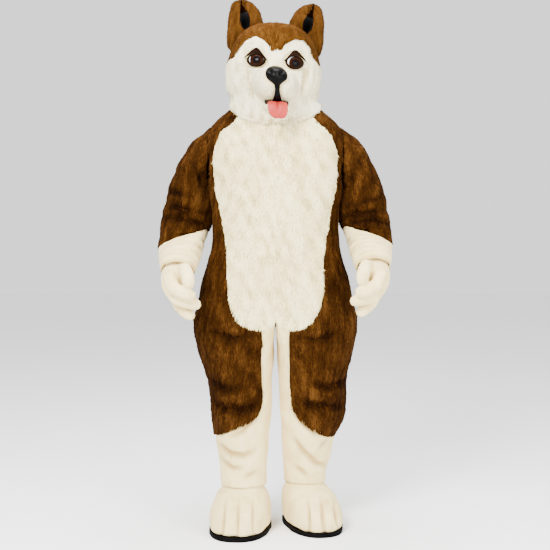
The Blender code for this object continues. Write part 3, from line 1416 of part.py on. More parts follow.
build_all()
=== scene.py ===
"""Dog mascot costume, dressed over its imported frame.

Long fur on the suit, sleeves, ears and head is laid as locks of hair on thin cloth shells;
legs, forearms, gloves and boots are plush. Metres, +Z up, the wearer faces -Y, and heights
in the tables are above the ground, which lies GROUND_DROP under the origin.
"""
import logging
import math
from dataclasses import dataclass
from enum import Enum
from typing import Callable, NamedTuple, Optional, Sequence, Union

import bmesh
import bpy
import numpy as np
from mathutils import Matrix, Vector
from mathutils.bvhtree import BVHTree


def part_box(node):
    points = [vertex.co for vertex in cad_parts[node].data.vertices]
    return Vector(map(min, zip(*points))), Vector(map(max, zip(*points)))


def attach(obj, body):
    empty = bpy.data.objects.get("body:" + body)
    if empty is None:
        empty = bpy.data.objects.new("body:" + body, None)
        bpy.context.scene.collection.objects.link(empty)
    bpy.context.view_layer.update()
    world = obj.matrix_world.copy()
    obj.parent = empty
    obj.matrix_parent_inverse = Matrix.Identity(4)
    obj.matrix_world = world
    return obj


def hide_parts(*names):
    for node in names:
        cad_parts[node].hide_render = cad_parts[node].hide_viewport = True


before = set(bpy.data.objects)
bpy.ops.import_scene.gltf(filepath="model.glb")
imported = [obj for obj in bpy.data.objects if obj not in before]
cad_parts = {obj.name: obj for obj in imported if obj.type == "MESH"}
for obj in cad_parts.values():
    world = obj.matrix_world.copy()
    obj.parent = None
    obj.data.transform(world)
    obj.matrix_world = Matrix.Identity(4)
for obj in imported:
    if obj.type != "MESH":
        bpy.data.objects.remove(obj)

LOG = logging.getLogger("dog_mascot_costume")
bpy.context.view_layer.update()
BODY = "root"
GROUND_DROP = 1.45
TINY = 1e-6                         # keeps a division off zero

Point = tuple[float, float, float]
Colour = tuple[float, float, float]
Socket = bpy.types.NodeSocket
BLACK: Colour = (0.0, 0.0, 0.0)
WHITE: Colour = (1.0, 1.0, 1.0)


class Side(Enum):
    """The wearer's two sides, as signs of X."""

    RIGHT = -1
    LEFT = 1

    @property
    def word(self) -> str:
        """The side's name as the frame's nodes spell it."""
        return self.name.lower()

    def mirror(self, point: Point) -> Point:
        """A point given on the left side, on this side."""
        return (point[0] * self.value, point[1], point[2])


HEAD_PIVOT: Point = (-0.012, 0.0, 1.60)
HEAD_YAW, HEAD_ROLL = math.radians(2.5), math.radians(3.2)


def head_turn() -> Matrix:
    """The head's yaw and tilt."""
    return Matrix.Rotation(HEAD_YAW, 3, "Z") @ Matrix.Rotation(HEAD_ROLL, 3, "Y")


def on_head(point: Point) -> Point:
    """Turns a place on the upright head with the head.

    Args:
        point: The place on the upright head, by its height above the ground.

    Returns:
        The same place on the turned head, also above the ground.
    """
    pivot = Vector(HEAD_PIVOT)
    place = head_turn() @ (Vector(point) + Vector((HEAD_PIVOT[0], 0.0, 0.0)) - pivot) + pivot
    return tuple(place)


# ------------------------------------------------------------------ finishes
class Tree:
    """A material's node tree with short calls for adding and joining nodes."""

    def __init__(self, name: str) -> None:
        """Starts a material with only its shader and output.

        Args:
            name: The material's name.
        """
        self.material = bpy.data.materials.new(name)
        self.material.use_nodes = True
        self.nodes = self.material.node_tree.nodes
        self.links = self.material.node_tree.links
        self.shader = self.nodes["Principled BSDF"]

    def set(self, **values: Union[float, tuple[float, ...]]) -> None:
        """Sets constants on the shader's own sockets, underscores standing for spaces."""
        for key, value in values.items():
            self.shader.inputs[key.replace("_", " ")].default_value = value

    def join(self, source: Socket, target: Socket) -> None:
        """Links one socket to another."""
        self.links.new(source, target)

    def feed(self, target: Socket, value: Union[float, Colour, Socket]) -> None:
        """Gives a socket its value.

        Args:
            target: The socket.
            value: A number, a colour, or another node's socket to link.
        """
        if isinstance(value, (int, float)):
            target.default_value = value
        elif isinstance(value, tuple):
            target.default_value = (*value, 1.0)
        else:
            self.join(value, target)

    def attribute(self, name: str) -> Socket:
        """Reads a number that is stored on the mesh's points.

        Args:
            name: The attribute's name.

        Returns:
            The number's socket.
        """
        node = self.nodes.new("ShaderNodeAttribute")
        node.attribute_name = name
        return node.outputs["Fac"]

    def placed(self, scale: Point, shift: Point = (0.0, 0.0, 0.0)) -> Socket:
        """Scales and moves the piece's own coordinates.

        Args:
            scale: The scale of each axis.
            shift: What is added after it.

        Returns:
            The coordinates' socket.
        """
        place = self.nodes.new("ShaderNodeTexCoord")
        mapping = self.nodes.new("ShaderNodeMapping")
        mapping.inputs["Scale"].default_value = scale
        mapping.inputs["Location"].default_value = shift
        self.join(place.outputs["Object"], mapping.inputs["Vector"])
        return mapping.outputs["Vector"]

    def noise(self, scale: float, detail: float = 2.0, stretch: Point = (1.0, 1.0, 1.0),
              roughness: float = 0.5) -> Socket:
        """Noise on the piece's own coordinates.

        Args:
            scale: Waves for each metre.
            detail: Octaves of the noise.
            stretch: Scale of each axis before the noise.
            roughness: Strength of the finer octaves.

        Returns:
            The noise value's socket.
        """
        node = self.nodes.new("ShaderNodeTexNoise")
        node.inputs["Scale"].default_value = scale
        node.inputs["Detail"].default_value = detail
        node.inputs["Roughness"].default_value = roughness
        self.join(self.placed(stretch), node.inputs["Vector"])
        return node.outputs["Fac"]

    def math(self, operation: str, first: Union[float, Socket],
             second: Union[float, Socket]) -> Socket:
        """A sum, product or other operation on sockets or numbers.

        Args:
            operation: The operation, as the node names it.
            first: What it works on.
            second: What it works with.

        Returns:
            The result's socket.
        """
        node = self.nodes.new("ShaderNodeMath")
        node.operation = operation
        self.feed(node.inputs[0], first)
        self.feed(node.inputs[1], second)
        return node.outputs[0]

    def swing(self, noise: Socket, strength: float) -> Socket:
        """Turns noise about a half into a shift of plus or minus a strength."""
        return self.math("MULTIPLY", self.math("SUBTRACT", noise, 0.5), 2.0 * strength)

    def ramp(self, factor: Socket, stops: Sequence[tuple[float, Colour]]) -> Socket:
        """A colour read from a row of stops.

        Args:
            factor: Where along the row to read.
            stops: Place and colour of each stop, in rising order.

        Returns:
            The colour's socket.
        """
        node = self.nodes.new("ShaderNodeValToRGB")
        row = node.color_ramp.elements
        while len(row) < len(stops):
            row.new(0.5)
        for element, (place, colour) in zip(row, stops):
            element.position = place
            element.color = (*colour, 1.0)
        self.join(factor, node.inputs["Fac"])
        return node.outputs["Color"]

    def mix(self, factor: Union[float, Socket], first: Union[Colour, Socket],
            second: Union[Colour, Socket], blend: str = "MIX") -> Socket:
        """Mixes two colours.

        Args:
            factor: How much of the second one.
            first: The first colour.
            second: The second colour.
            blend: How they are mixed, as the node names it.

        Returns:
            The mixed colour's socket.
        """
        node = self.nodes.new("ShaderNodeMix")
        node.data_type = "RGBA"
        node.blend_type = blend
        for number, value in ((0, factor), (6, first), (7, second)):    # 6, 7: its colour inputs
            self.feed(node.inputs[number], value)
        return node.outputs[2]

    def bump(self, height: Socket, distance: float, strength: float = 1.0,
             before: Optional[Socket] = None) -> Socket:
        """A bumped normal.

        Args:
            height: The height's socket.
            distance: How high a whole unit stands, in metres.
            strength: How strongly it shows.
            before: A normal that this one is laid on.

        Returns:
            The normal's socket.
        """
        node = self.nodes.new("ShaderNodeBump")
        node.inputs["Distance"].default_value = distance
        node.inputs["Strength"].default_value = strength
        self.join(height, node.inputs["Height"])
        if before is not None:
            self.join(before, node.inputs["Normal"])
        return node.outputs["Normal"]

    def colour(self, socket: Socket) -> None:
        """Feeds the shader's base colour."""
        self.join(socket, self.shader.inputs["Base Color"])

    def normal(self, socket: Socket) -> None:
        """Feeds the shader's normal."""
        self.join(socket, self.shader.inputs["Normal"])


@dataclass(frozen=True)
class Fur:
    """Long pile: each lock has its own tone, and painted shade makes it darker at its root and
    paler at its tip.
    """

    name: str
    root: Colour
    middle: Colour
    tip: Colour
    patch: float = 0.35             # how strongly broad patches shift the tone
    strand: float = 0.20            # how strongly single strands shift it
    foot: float = 0.72              # how dark the painted shade at a lock's foot is
    sheen: float = 0.0
    patch_waves: float = 9.0        # for each metre
    strand_waves: float = 190.0
    foot_end: float = 0.6           # share of the lock's length where its foot's shade ends
    roughness: float = 0.95

    def material(self) -> bpy.types.Material:
        """Builds the finish.

        Returns:
            The material.
        """
        tree = Tree(self.name)
        patches = tree.noise(self.patch_waves, 4.0, (1.0, 1.0, 0.55))
        strands = tree.noise(self.strand_waves, 2.0, (1.0, 1.0, 0.14))
        shift = tree.math("ADD", tree.swing(patches, self.patch),
                          tree.swing(strands, self.strand))
        # each lock's tone attribute is already lowered by painted shade in folds
        tone = tree.math("ADD", tree.attribute("tone"), shift)
        body = tree.ramp(tone, ((0.0, self.root), (0.5, self.middle), (1.0, self.tip)))
        # painted shade: each lock darker towards its foot
        shade = tree.ramp(tree.attribute("along"),
                          ((0.0, (self.foot,) * 3), (self.foot_end, WHITE)))
        tree.colour(tree.mix(1.0, body, shade, "MULTIPLY"))
        tree.set(Roughness=self.roughness, Sheen_Weight=self.sheen, Sheen_Roughness=0.5,
                 Specular_IOR_Level=0.02)
        return tree.material


@dataclass(frozen=True)
class Backing:
    """The knitted cloth that long pile grows from, with roots of hair on it."""

    name: str
    low: Colour
    high: Colour
    hair_waves: float = 260.0       # for each metre
    hair_depth: float = 0.001

    def material(self) -> bpy.types.Material:
        """Builds the finish.

        Returns:
            The material.
        """
        tree = Tree(self.name)
        hair = tree.noise(self.hair_waves, 3.0, (1.0, 1.0, 0.16))
        tree.colour(tree.ramp(hair, ((0.30, self.low), (0.70, self.high))))
        tree.normal(tree.bump(hair, self.hair_depth, 0.6))
        tree.set(Roughness=0.95, Specular_IOR_Level=0.02)
        return tree.material


@dataclass(frozen=True)
class Plush:
    """Short dense pile: a soft mottled nap with fine bumps, and painted shade in its folds."""

    name: str
    low: Colour
    high: Colour
    sheen: float = 0.08
    fold: Colour = (0.58, 0.50, 0.38)       # painted shade: what a deep fold's colour is multiplied by
    nap_waves: float = 420.0        # for each metre
    nap_depth: float = 0.0012
    brushed_waves: float = 22.0
    brushed_depth: float = 0.005
    nap_share: float = 0.40         # the nap's share in the tone, the brushed patches' is the rest

    def material(self) -> bpy.types.Material:
        """Builds the finish.

        Returns:
            The material.
        """
        tree = Tree(self.name)
        nap = tree.noise(self.nap_waves, 3.0, (1.0, 1.0, 0.45), 0.6)
        brushed = tree.noise(self.brushed_waves, 4.0, (1.0, 1.0, 0.7), 0.55)
        tone = tree.math("ADD", tree.math("MULTIPLY", nap, self.nap_share),
                         tree.math("MULTIPLY", brushed, 1.0 - self.nap_share))
        body = tree.ramp(tone, ((0.34, self.low), (0.62, self.high)))
        # painted shade, darker where the cloth lies deep in a fold
        shade = tree.ramp(tree.attribute("fold"), ((0.0, WHITE), (1.0, self.fold)))
        tree.colour(tree.mix(1.0, body, shade, "MULTIPLY"))
        soft = tree.bump(brushed, self.brushed_depth, 0.5)
        tree.normal(tree.bump(nap, self.nap_depth, 0.8, soft))
        tree.set(Roughness=0.88, Sheen_Weight=self.sheen, Sheen_Roughness=0.45,
                 Specular_IOR_Level=0.2)
        return tree.material


@dataclass(frozen=True)
class Smooth:
    """A smooth finish, lightly grained: gloss, felt, satin or rubber."""

    name: str
    low: Colour
    high: Colour
    roughness: float
    grain: float = 600.0            # waves for each metre
    depth: float = 0.0003
    specular: float = 0.5
    patch_waves: float = 30.0

    def material(self) -> bpy.types.Material:
        """Builds the finish.

        Returns:
            The material.
        """
        tree = Tree(self.name)
        patches = tree.noise(self.patch_waves, 3.0)
        tree.colour(tree.ramp(patches, ((0.35, self.low), (0.65, self.high))))
        tree.normal(tree.bump(tree.noise(self.grain, 3.0), self.depth, 0.6))
        tree.set(Roughness=self.roughness, Specular_IOR_Level=self.specular)
        return tree.material


@dataclass(frozen=True)
class PaintedEye:
    """A glossy eye painted with pupil, iris, white and a dark outline."""

    name: str
    middle: Point                   # of the eye, above the ground
    gaze: tuple[float, float]       # how far the iris lies across and up from the middle
    half_width: float = 0.0350
    half_height: float = 0.0262
    pupil: float = 0.0145
    iris: float = 0.0245
    outline: float = 0.70           # share of the eye's half size where the outline starts
    outline_blur: float = 0.04      # share over which it fades in
    pupil_blur: float = 0.03
    iris_shade: float = 0.86        # share of the iris where it starts to darken
    iris_rim: tuple[float, float] = (0.92, 0.99)
    pupil_black: Colour = (0.003, 0.002, 0.002)
    inner_brown: Colour = (0.018, 0.0046, 0.0013)
    outer_brown: Colour = (0.009, 0.0023, 0.0008)
    rim_brown: Colour = (0.009, 0.004, 0.002)
    ball_white: Colour = (0.83, 0.81, 0.78)

    def reach(self, tree: Tree, shift: tuple[float, float], half: tuple[float, float]) -> Socket:
        """How far a place lies from a middle, in half sizes seen from in front.

        Args:
            tree: The material's tree.
            shift: How far the middle lies across and up from the eye's own.
            half: The half sizes.

        Returns:
            The distance's socket.
        """
        scale = (1.0 / half[0], 0.0, 1.0 / half[1])
        centre = (self.middle[0] + shift[0], 0.0, self.middle[2] - GROUND_DROP + shift[1])
        length = tree.nodes.new("ShaderNodeVectorMath")
        length.operation = "LENGTH"
        tree.join(tree.placed(scale, tuple(-c * k for c, k in zip(centre, scale))),
                  length.inputs[0])
        return length.outputs["Value"]

    def material(self) -> bpy.types.Material:
        """Builds the finish.

        Returns:
            The material.
        """
        tree = Tree(self.name)
        edge = self.pupil / self.iris
        rim_start, rim_end = self.iris_rim
        rings = self.reach(tree, self.gaze, (self.iris, self.iris))
        iris = tree.ramp(rings, (
            (0.0, self.pupil_black), (edge - self.pupil_blur, self.pupil_black),
            (edge + self.pupil_blur, self.inner_brown), (self.iris_shade, self.outer_brown),
            (rim_start, self.rim_brown), (rim_end, self.rim_brown), (1.0, self.ball_white)))
        whole = self.reach(tree, (0.0, 0.0), (self.half_width, self.half_height))
        line = tree.ramp(whole, ((self.outline, BLACK),
                                 (self.outline + self.outline_blur, WHITE)))
        tree.colour(tree.mix(line, iris, self.rim_brown))
        tree.set(Roughness=0.10, Specular_IOR_Level=0.03)
        return tree.material


class Finishes:
    """Every finish of the costume, built once."""

    def __init__(self) -> None:
        """Builds the materials by name."""
        kinds = [
            Fur("brown_fur_hair", (0.0065, 0.0019, 0.0003), (0.030, 0.0103, 0.0017),
                (0.092, 0.037, 0.0078)),
            Fur("crown_hair", (0.022, 0.0074, 0.0012), (0.062, 0.0235, 0.0042),
                (0.115, 0.048, 0.0105), patch=0.24),
            Fur("cream_fur_hair", (0.50, 0.36, 0.13), (0.86, 0.73, 0.37),
                (0.95, 0.87, 0.53), patch=0.30, strand=0.12, foot=0.80, sheen=0.05),
            Fur("white_fur_hair", (0.48, 0.37, 0.17), (0.87, 0.78, 0.50),
                (0.95, 0.90, 0.68), patch=0.26, strand=0.12, foot=0.80, sheen=0.05),
            Backing("brown_backing", (0.010, 0.0030, 0.0005), (0.040, 0.0132, 0.0018)),
            Backing("cream_backing", (0.62, 0.49, 0.24), (0.80, 0.68, 0.38)),
            Plush("white_plush_nap", (0.66, 0.49, 0.20), (0.86, 0.71, 0.35)),
            Smooth("ear_satin", (0.003, 0.003, 0.003), (0.008, 0.007, 0.007), 0.40,
                   grain=900.0, specular=0.10),
            Smooth("nose_gloss", (0.001, 0.001, 0.001), (0.002, 0.0018, 0.0016), 0.32,
                   grain=500.0, depth=0.0004, specular=0.04),
            Smooth("lid_felt", (0.0045, 0.0016, 0.0006), (0.0085, 0.0030, 0.0011), 0.90,
                   grain=900.0, specular=0.02),
            Smooth("mouth_black", (0.003, 0.002, 0.002), (0.005, 0.004, 0.004), 0.70,
                   specular=0.1),
            Smooth("tongue_satin", (0.27, 0.016, 0.010), (0.34, 0.025, 0.017), 0.50,
                   grain=700.0, specular=0.25),
            Smooth("sole_rubber", (0.0015, 0.0013, 0.0013), (0.003, 0.0026, 0.0026), 0.70,
                   grain=400.0, depth=0.0006, specular=0.02),
            PaintedEye("eye_right_paint", on_head((-0.068, -0.15, 1.702)), (0.001, -0.001)),
            PaintedEye("eye_left_paint", on_head((0.068, -0.15, 1.702)), (0.003, -0.005)),
        ]
        self.made = {kind.name: kind.material() for kind in kinds}

    def __getitem__(self, name: str) -> bpy.types.Material:
        """The material of a name."""
        return self.made[name]


FINISHES = Finishes()


# ------------------------------------------------------------------ cloth on the frame's form
MERGE_WITHIN = 1e-5
QUAD_BEND, QUAD_SKEW = math.radians(45), math.radians(65)   # limits for joining two triangles
LOOKS_AWAY = 0.2                    # least facing of an outer face, as a cosine
SMALL_ISLAND = 0.05                 # stray patches under this share of the largest are dropped


def above_ground(point: Point) -> Vector:
    """A point given by its height above the ground, in the frame's own axes."""
    return Vector((point[0], point[1], point[2] - GROUND_DROP))


def add_piece(name: str, mesh: bpy.types.Mesh) -> bpy.types.Object:
    """Puts a mesh in the scene as an object at the origin.

    Args:
        name: The object's name.
        mesh: The mesh.

    Returns:
        The object.
    """
    piece = bpy.data.objects.new(name, mesh)
    bpy.context.scene.collection.objects.link(piece)
    return piece


def only(piece: bpy.types.Object) -> None:
    """Selects one object alone and makes it active.

    Args:
        piece: The object.
    """
    bpy.ops.object.select_all(action="DESELECT")
    piece.select_set(True)
    bpy.context.view_layer.objects.active = piece


def copy_node(node: str, name: str) -> bpy.types.Object:
    """Copies a frame node as a merged mesh, mostly of quads.

    Args:
        node: The frame's node.
        name: The copy's name.

    Returns:
        The copy.
    """
    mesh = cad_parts[node].data.copy()
    mesh.name = name
    mesh.materials.clear()
    for stored in ("custom_normal", "sharp_edge", "sharp_face"):
        if stored in mesh.attributes:
            mesh.attributes.remove(mesh.attributes[stored])
    work = bmesh.new()
    work.from_mesh(mesh)
    bmesh.ops.remove_doubles(work, verts=work.verts, dist=MERGE_WITHIN)
    bmesh.ops.join_triangles(work, faces=work.faces, angle_face_threshold=QUAD_BEND,
                             angle_shape_threshold=QUAD_SKEW)
    work.to_mesh(mesh)
    work.free()
    return add_piece(name, mesh)


def nearest_on_axis(point: Vector, axis: Sequence[Vector]) -> Vector:
    """Finds the point of a bent line that lies nearest.

    Args:
        point: Where to look from.
        axis: The line's corners.

    Returns:
        The nearest point of the line.
    """
    best = axis[0]
    for start, end in zip(axis, axis[1:]):
        along = end - start
        share = (point - start).dot(along) / max(along.length_squared, TINY ** 2)
        place = start + along * min(max(share, 0.0), 1.0)
        if (place - point).length < (best - point).length:
            best = place
    return best


def islands_of(faces: set[bmesh.types.BMFace]) -> list[list[bmesh.types.BMFace]]:
    """Groups faces that join at edges.

    Args:
        faces: The faces.

    Returns:
        A list of groups.
    """
    left, islands = set(faces), []
    while left:
        queue, island = [left.pop()], []
        while queue:
            face = queue.pop()
            island.append(face)
            beside = {other for edge in face.edges for other in edge.link_faces} & left
            left -= beside
            queue += beside
        islands.append(island)
    return islands


def keep_outside(piece: bpy.types.Object, axis: Sequence[Vector]) -> None:
    """Deletes all but the wall's outer side, the faces that look away from an axis.

    Args:
        piece: A closed wall.
        axis: A bent line inside the hollow that the wall encloses.
    """
    work = bmesh.new()
    work.from_mesh(piece.data)
    work.normal_update()
    outer = set()
    for face in work.faces:
        middle = face.calc_center_median()
        away = (middle - nearest_on_axis(middle, axis)).normalized()
        if away.dot(face.normal) > LOOKS_AWAY:
            outer.add(face)
    for face in work.faces:
        beside = {other for edge in face.edges for other in edge.link_faces} - {face}
        if face not in outer and not beside - outer:
            outer.add(face)
    sizes = [(sum(face.calc_area() for face in island), island) for island in islands_of(outer)]
    largest = max(size for size, _ in sizes)
    for size, island in sizes:
        if size < SMALL_ISLAND * largest:
            outer -= set(island)
    gone = [face for face in work.faces if face not in outer]
    bmesh.ops.delete(work, geom=gone, context="FACES")
    work.to_mesh(piece.data)
    work.free()


def apply_modifier(piece: bpy.types.Object, kind: str,
                   **values: Union[float, int, bool, str]) -> None:
    """Adds a modifier, sets it up and applies it.

    Args:
        piece: The object.
        kind: The modifier's type.
        values: Its settings.
    """
    only(piece)
    made = piece.modifiers.new(kind.lower(), kind)
    for key, value in values.items():
        setattr(made, key, value)
    bpy.ops.object.modifier_apply(modifier=made.name)


def refine(piece: bpy.types.Object, levels: int) -> None:
    """Rounds a mesh by subdivision, its corners kept in place."""
    apply_modifier(piece, "SUBSURF", levels=levels, render_levels=levels,
                   boundary_smooth="PRESERVE_CORNERS")


@dataclass
class Shape:
    """A mesh's points, their normals and its triangles as arrays."""

    points: np.ndarray
    normals: np.ndarray
    triangles: np.ndarray
    fold: Optional[np.ndarray] = None       # how deep in a fold each point lies, 0 to 1, which sets its painted shade

    @classmethod
    def of(cls, piece: bpy.types.Object) -> "Shape":
        """Reads a piece.

        Args:
            piece: The piece.

        Returns:
            Its shape.
        """
        mesh = piece.data
        count = len(mesh.vertices)
        points, normals = np.empty(count * 3), np.empty(count * 3)
        mesh.vertices.foreach_get("co", points)
        mesh.vertices.foreach_get("normal", normals)
        mesh.calc_loop_triangles()
        triangles = np.empty(len(mesh.loop_triangles) * 3, np.int32)
        mesh.loop_triangles.foreach_get("vertices", triangles)
        return cls(points.reshape(-1, 3), normals.reshape(-1, 3), triangles.reshape(-1, 3))

    @classmethod
    def of_node(cls, node: str, levels: int = 0) -> "Shape":
        """Reads a frame node.

        Args:
            node: The node.
            levels: How finely it is rounded first.

        Returns:
            Its shape.
        """
        copied = copy_node(node, f"{node}_form")
        if levels:
            refine(copied, levels)
        shape = cls.of(copied)
        bpy.data.objects.remove(copied)
        return shape

    def tree(self) -> BVHTree:
        """The triangles, ready for searching."""
        return BVHTree.FromPolygons(self.points.tolist(), self.triangles.tolist())

    def gaps(self, points: np.ndarray) -> np.ndarray:
        """How far points lie from the surface."""
        tree = self.tree()
        return np.array([tree.find_nearest(point)[3] for point in points.tolist()])


def move_points(piece: bpy.types.Object, points: np.ndarray) -> None:
    """Writes a mesh's points back."""
    piece.data.vertices.foreach_set("co", points.ravel())
    piece.data.update()


def ease(share: np.ndarray) -> np.ndarray:
    """Runs smoothly from 0 to 1."""
    share = np.clip(share, 0.0, 1.0)
    return share * share * (3.0 - 2.0 * share)


FADE_MARGIN, FADE_POWER = 0.08, 0.8     # how a crease dies away towards its two ends
FRONT_FACING = 0.4                      # where cloth looks this far forward, a drawn one is whole


@dataclass(frozen=True)
class Crease:
    """A trough, or with a negative depth a ridge, pressed into cloth along a bent line."""

    line: tuple[Point, ...]
    width: float
    depth: float
    drawn: bool = False             # drawn on the front: the line's own Y doesn't count

    def on(self, side: Side) -> "Crease":
        """A crease given for the left side, on one of the two."""
        return Crease(tuple(side.mirror(point) for point in self.line), self.width, self.depth,
                      self.drawn)

    def press(self, shape: Shape) -> np.ndarray:
        """How deep each point is pressed.

        Args:
            shape: The cloth's points.

        Returns:
            A depth for each point.
        """
        depth = np.zeros(len(shape.points))
        seen = np.array([1.0, 0.0, 1.0]) if self.drawn else np.ones(3)
        points = shape.points * seen
        corners = [np.array(above_ground(point)) * seen for point in self.line]
        total = sum(np.linalg.norm(b - a) for a, b in zip(corners, corners[1:]))
        run = 0.0
        for start, end in zip(corners, corners[1:]):
            along = end - start
            length = np.linalg.norm(along)
            share = np.clip((points - start) @ along / length ** 2, 0.0, 1.0)
            near = start + share[:, None] * along
            aside = np.linalg.norm(points - near, axis=1)
            place = (run + share * length) / total
            inside = FADE_MARGIN + (1.0 - 2.0 * FADE_MARGIN) * place
            fade = np.sin(np.pi * inside) ** FADE_POWER
            depth = np.maximum(depth, fade * np.exp(-(aside / self.width) ** 2))
            run += length
        if self.drawn:
            depth *= ease(-shape.normals[:, 1] / FRONT_FACING)
        return depth * self.depth


def drawn(width: float, depth: float, *line: tuple[float, float]) -> Crease:
    """A crease drawn on the front, through points given across and up."""
    return Crease(tuple((across, 0.0, up) for across, up in line), width, depth, True)


WAVE_SETS = 6
WAVE_SPREAD = (0.7, 1.5)                # shortest and longest wave, as shares of the length


def waves(points: np.ndarray, length: float, seed: int) -> np.ndarray:
    """Smooth uneven waves from about -1 to 1.

    Args:
        points: Where to read them.
        length: How far apart the waves are, in metres.
        seed: Which set of waves.

    Returns:
        A value for each point.
    """
    draw = np.random.default_rng(seed)
    total = np.zeros(len(points))
    for _ in range(WAVE_SETS):
        way = draw.normal(size=3)
        way *= 2 * np.pi / (length * draw.uniform(*WAVE_SPREAD) * np.linalg.norm(way))
        total += np.sin(points @ way + draw.uniform(0, 2 * np.pi))
    return total / (WAVE_SETS / 2)


# ------------------------------------------------------------------ locks of hair
@dataclass(frozen=True)
class Clearing:
    """An egg-shaped place that hair keeps out of."""

    centre: Point
    reach: Point

    @classmethod
    def round_node(cls, node: str, grow: Point) -> "Clearing":
        """A bare place round a frame node.

        Args:
            node: The node.
            grow: How much is added to its half size on each axis.

        Returns:
            The clearing.
        """
        low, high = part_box(node)
        middle, half = (low + high) / 2, (high - low) / 2
        return cls(tuple(middle), tuple(h + g for h, g in zip(half, grow)))

    def holds(self, points: np.ndarray) -> np.ndarray:
        """Which points lie inside."""
        offset = (points - np.array(self.centre)) / np.array(self.reach)
        return (offset ** 2).sum(axis=1) < 1.0


@dataclass(frozen=True)
class Pile:
    """How a fur's locks stand."""

    length: float
    width: float
    rise: float                     # height over the backing at the lock's middle
    stray: float = 0.20             # how far a lock turns from the combed way, in radians
    clump: float = 0.030            # spread of the waves that gather locks
    locks: int = 6000
    hem: float = 0.008              # how far a lock may reach past the cloth's edge
    roundness: float = 0.35         # how far the normals at a lock's sides lean out
    mottle: float = 0.10            # how far single locks differ in tone


Comb = Callable[[np.ndarray], np.ndarray]
LEVEL_COMB = 0.35                   # how far hanging hair spreads outward


def unit(vectors: np.ndarray) -> np.ndarray:
    """Vectors brought to length one."""
    return vectors / np.maximum(np.linalg.norm(vectors, axis=1), TINY)[:, None]


def comb_down(points: np.ndarray) -> np.ndarray:
    """Hair hangs down, and outward where the cloth lies level."""
    way = LEVEL_COMB * unit(points * np.array([1.0, 1.0, 0.0]))
    return way - np.array([0.0, 0.0, 1.0])


def comb_from(origin: Point, drop: float) -> Comb:
    """Hair runs away from a place and partly down.

    Args:
        origin: The place, by its height above the ground.
        drop: The share of down in the combed way.

    Returns:
        The comb.
    """
    def comb(points: np.ndarray) -> np.ndarray:
        """Hair runs away from the place."""
        return unit(points - np.array(above_ground(origin))) - np.array([0.0, 0.0, drop])
    return comb


class Spread(NamedTuple):
    """How one size differs from lock to lock, in shares of the pile's own."""

    gathered: float                 # with the waves that gather locks
    single: float                   # each lock by itself
    least: float
    most: float

    def shares(self, gather: np.ndarray, draw: np.random.Generator) -> np.ndarray:
        """Draws a share for each lock.

        Args:
            gather: The gathering waves at each lock.
            draw: The random draws.

        Returns:
            The shares.
        """
        raw = 1.0 + self.gathered * gather + self.single * draw.normal(size=len(gather))
        return np.clip(raw, self.least, self.most)


@dataclass
class Roots:
    """Where locks grow on a surface."""

    face: np.ndarray                # each lock's triangle
    weight: np.ndarray              # its place there, as shares of the three corners

    @classmethod
    def scatter(cls, shape: Shape, locks: int, draw: np.random.Generator) -> "Roots":
        """Spreads locks evenly over a surface.

        Args:
            shape: The surface.
            locks: How many.
            draw: The random draws.

        Returns:
            The roots.
        """
        corner = shape.points[shape.triangles]
        area = np.linalg.norm(np.cross(corner[:, 1] - corner[:, 0], corner[:, 2] - corner[:, 0]),
                              axis=1)
        wanted = area / area.sum() * locks
        count = np.floor(wanted + draw.random(len(wanted))).astype(int)
        face = np.repeat(np.arange(len(count)), count)
        a, b = draw.random(len(face)), draw.random(len(face))
        over = a + b > 1.0
        a[over], b[over] = 1.0 - a[over], 1.0 - b[over]
        return cls(face, np.stack([1.0 - a - b, a, b], axis=1))

    def read(self, shape: Shape, values: np.ndarray) -> np.ndarray:
        """Reads what is stored on the surface's points.

        Args:
            shape: The surface.
            values: A number or a row of them for each of its points.

        Returns:
            The same for each lock's root.
        """
        corners = values[shape.triangles][self.face]
        weight = self.weight[:, :, None] if corners.ndim == 3 else self.weight
        return (corners * weight).sum(axis=1)


# A lock's points are its foot, its two sides and its tip.
LOCK_FACES = np.array([[0, 1, 2], [1, 3, 2], [0, 3, 1], [0, 2, 3]])
LOCK_ALONG = np.array([0.0, 0.5, 0.5, 1.0])
LOCK_ACROSS = np.array([0.5, 0.2, 0.8, 0.5])
LOCK_HALVES = np.array([0, 0, 1, 1])    # which half of its cell on the map each face lies in
MAP_MARGIN = 0.08                       # share of a cell left free above and below
LENGTHS = Spread(0.15, 0.15, 0.45, 1.5)
RISES = Spread(0.22, 0.20, 0.35, 1.6)
WIDTHS = (0.7, 1.3)                     # least and most share of the pile's width
TIP_RISES = (0.35, 1.0)                 # least and most share of the rise at a lock's tip
SHORTEST = 0.35                         # least share that a lock at the hem keeps
BEND_AT = 0.45                          # share of the length where a lock is bent over
ROOT_DEPTH = 0.001                      # how far a lock's foot is sunk in
SWIRL, SWIRL_SINGLE = 0.9, 0.5          # how locks turn, together and singly, in strays
SWIRL_CLUMPS = 2.2                      # how long the turning waves are, in clumps
FOOT_LEAN, TIP_LEAN = -0.15, 0.25       # how far the normals at a lock's two ends lean along it
GATHER_TONE = 0.15                      # how much gathered locks differ in tone
FOLD_SHADE = 0.75                        # painted shade: how much darker hair is in a deep fold
STREAKS = np.array([1.0, 1.0, 0.45])    # waves are drawn out along the hang of the hair


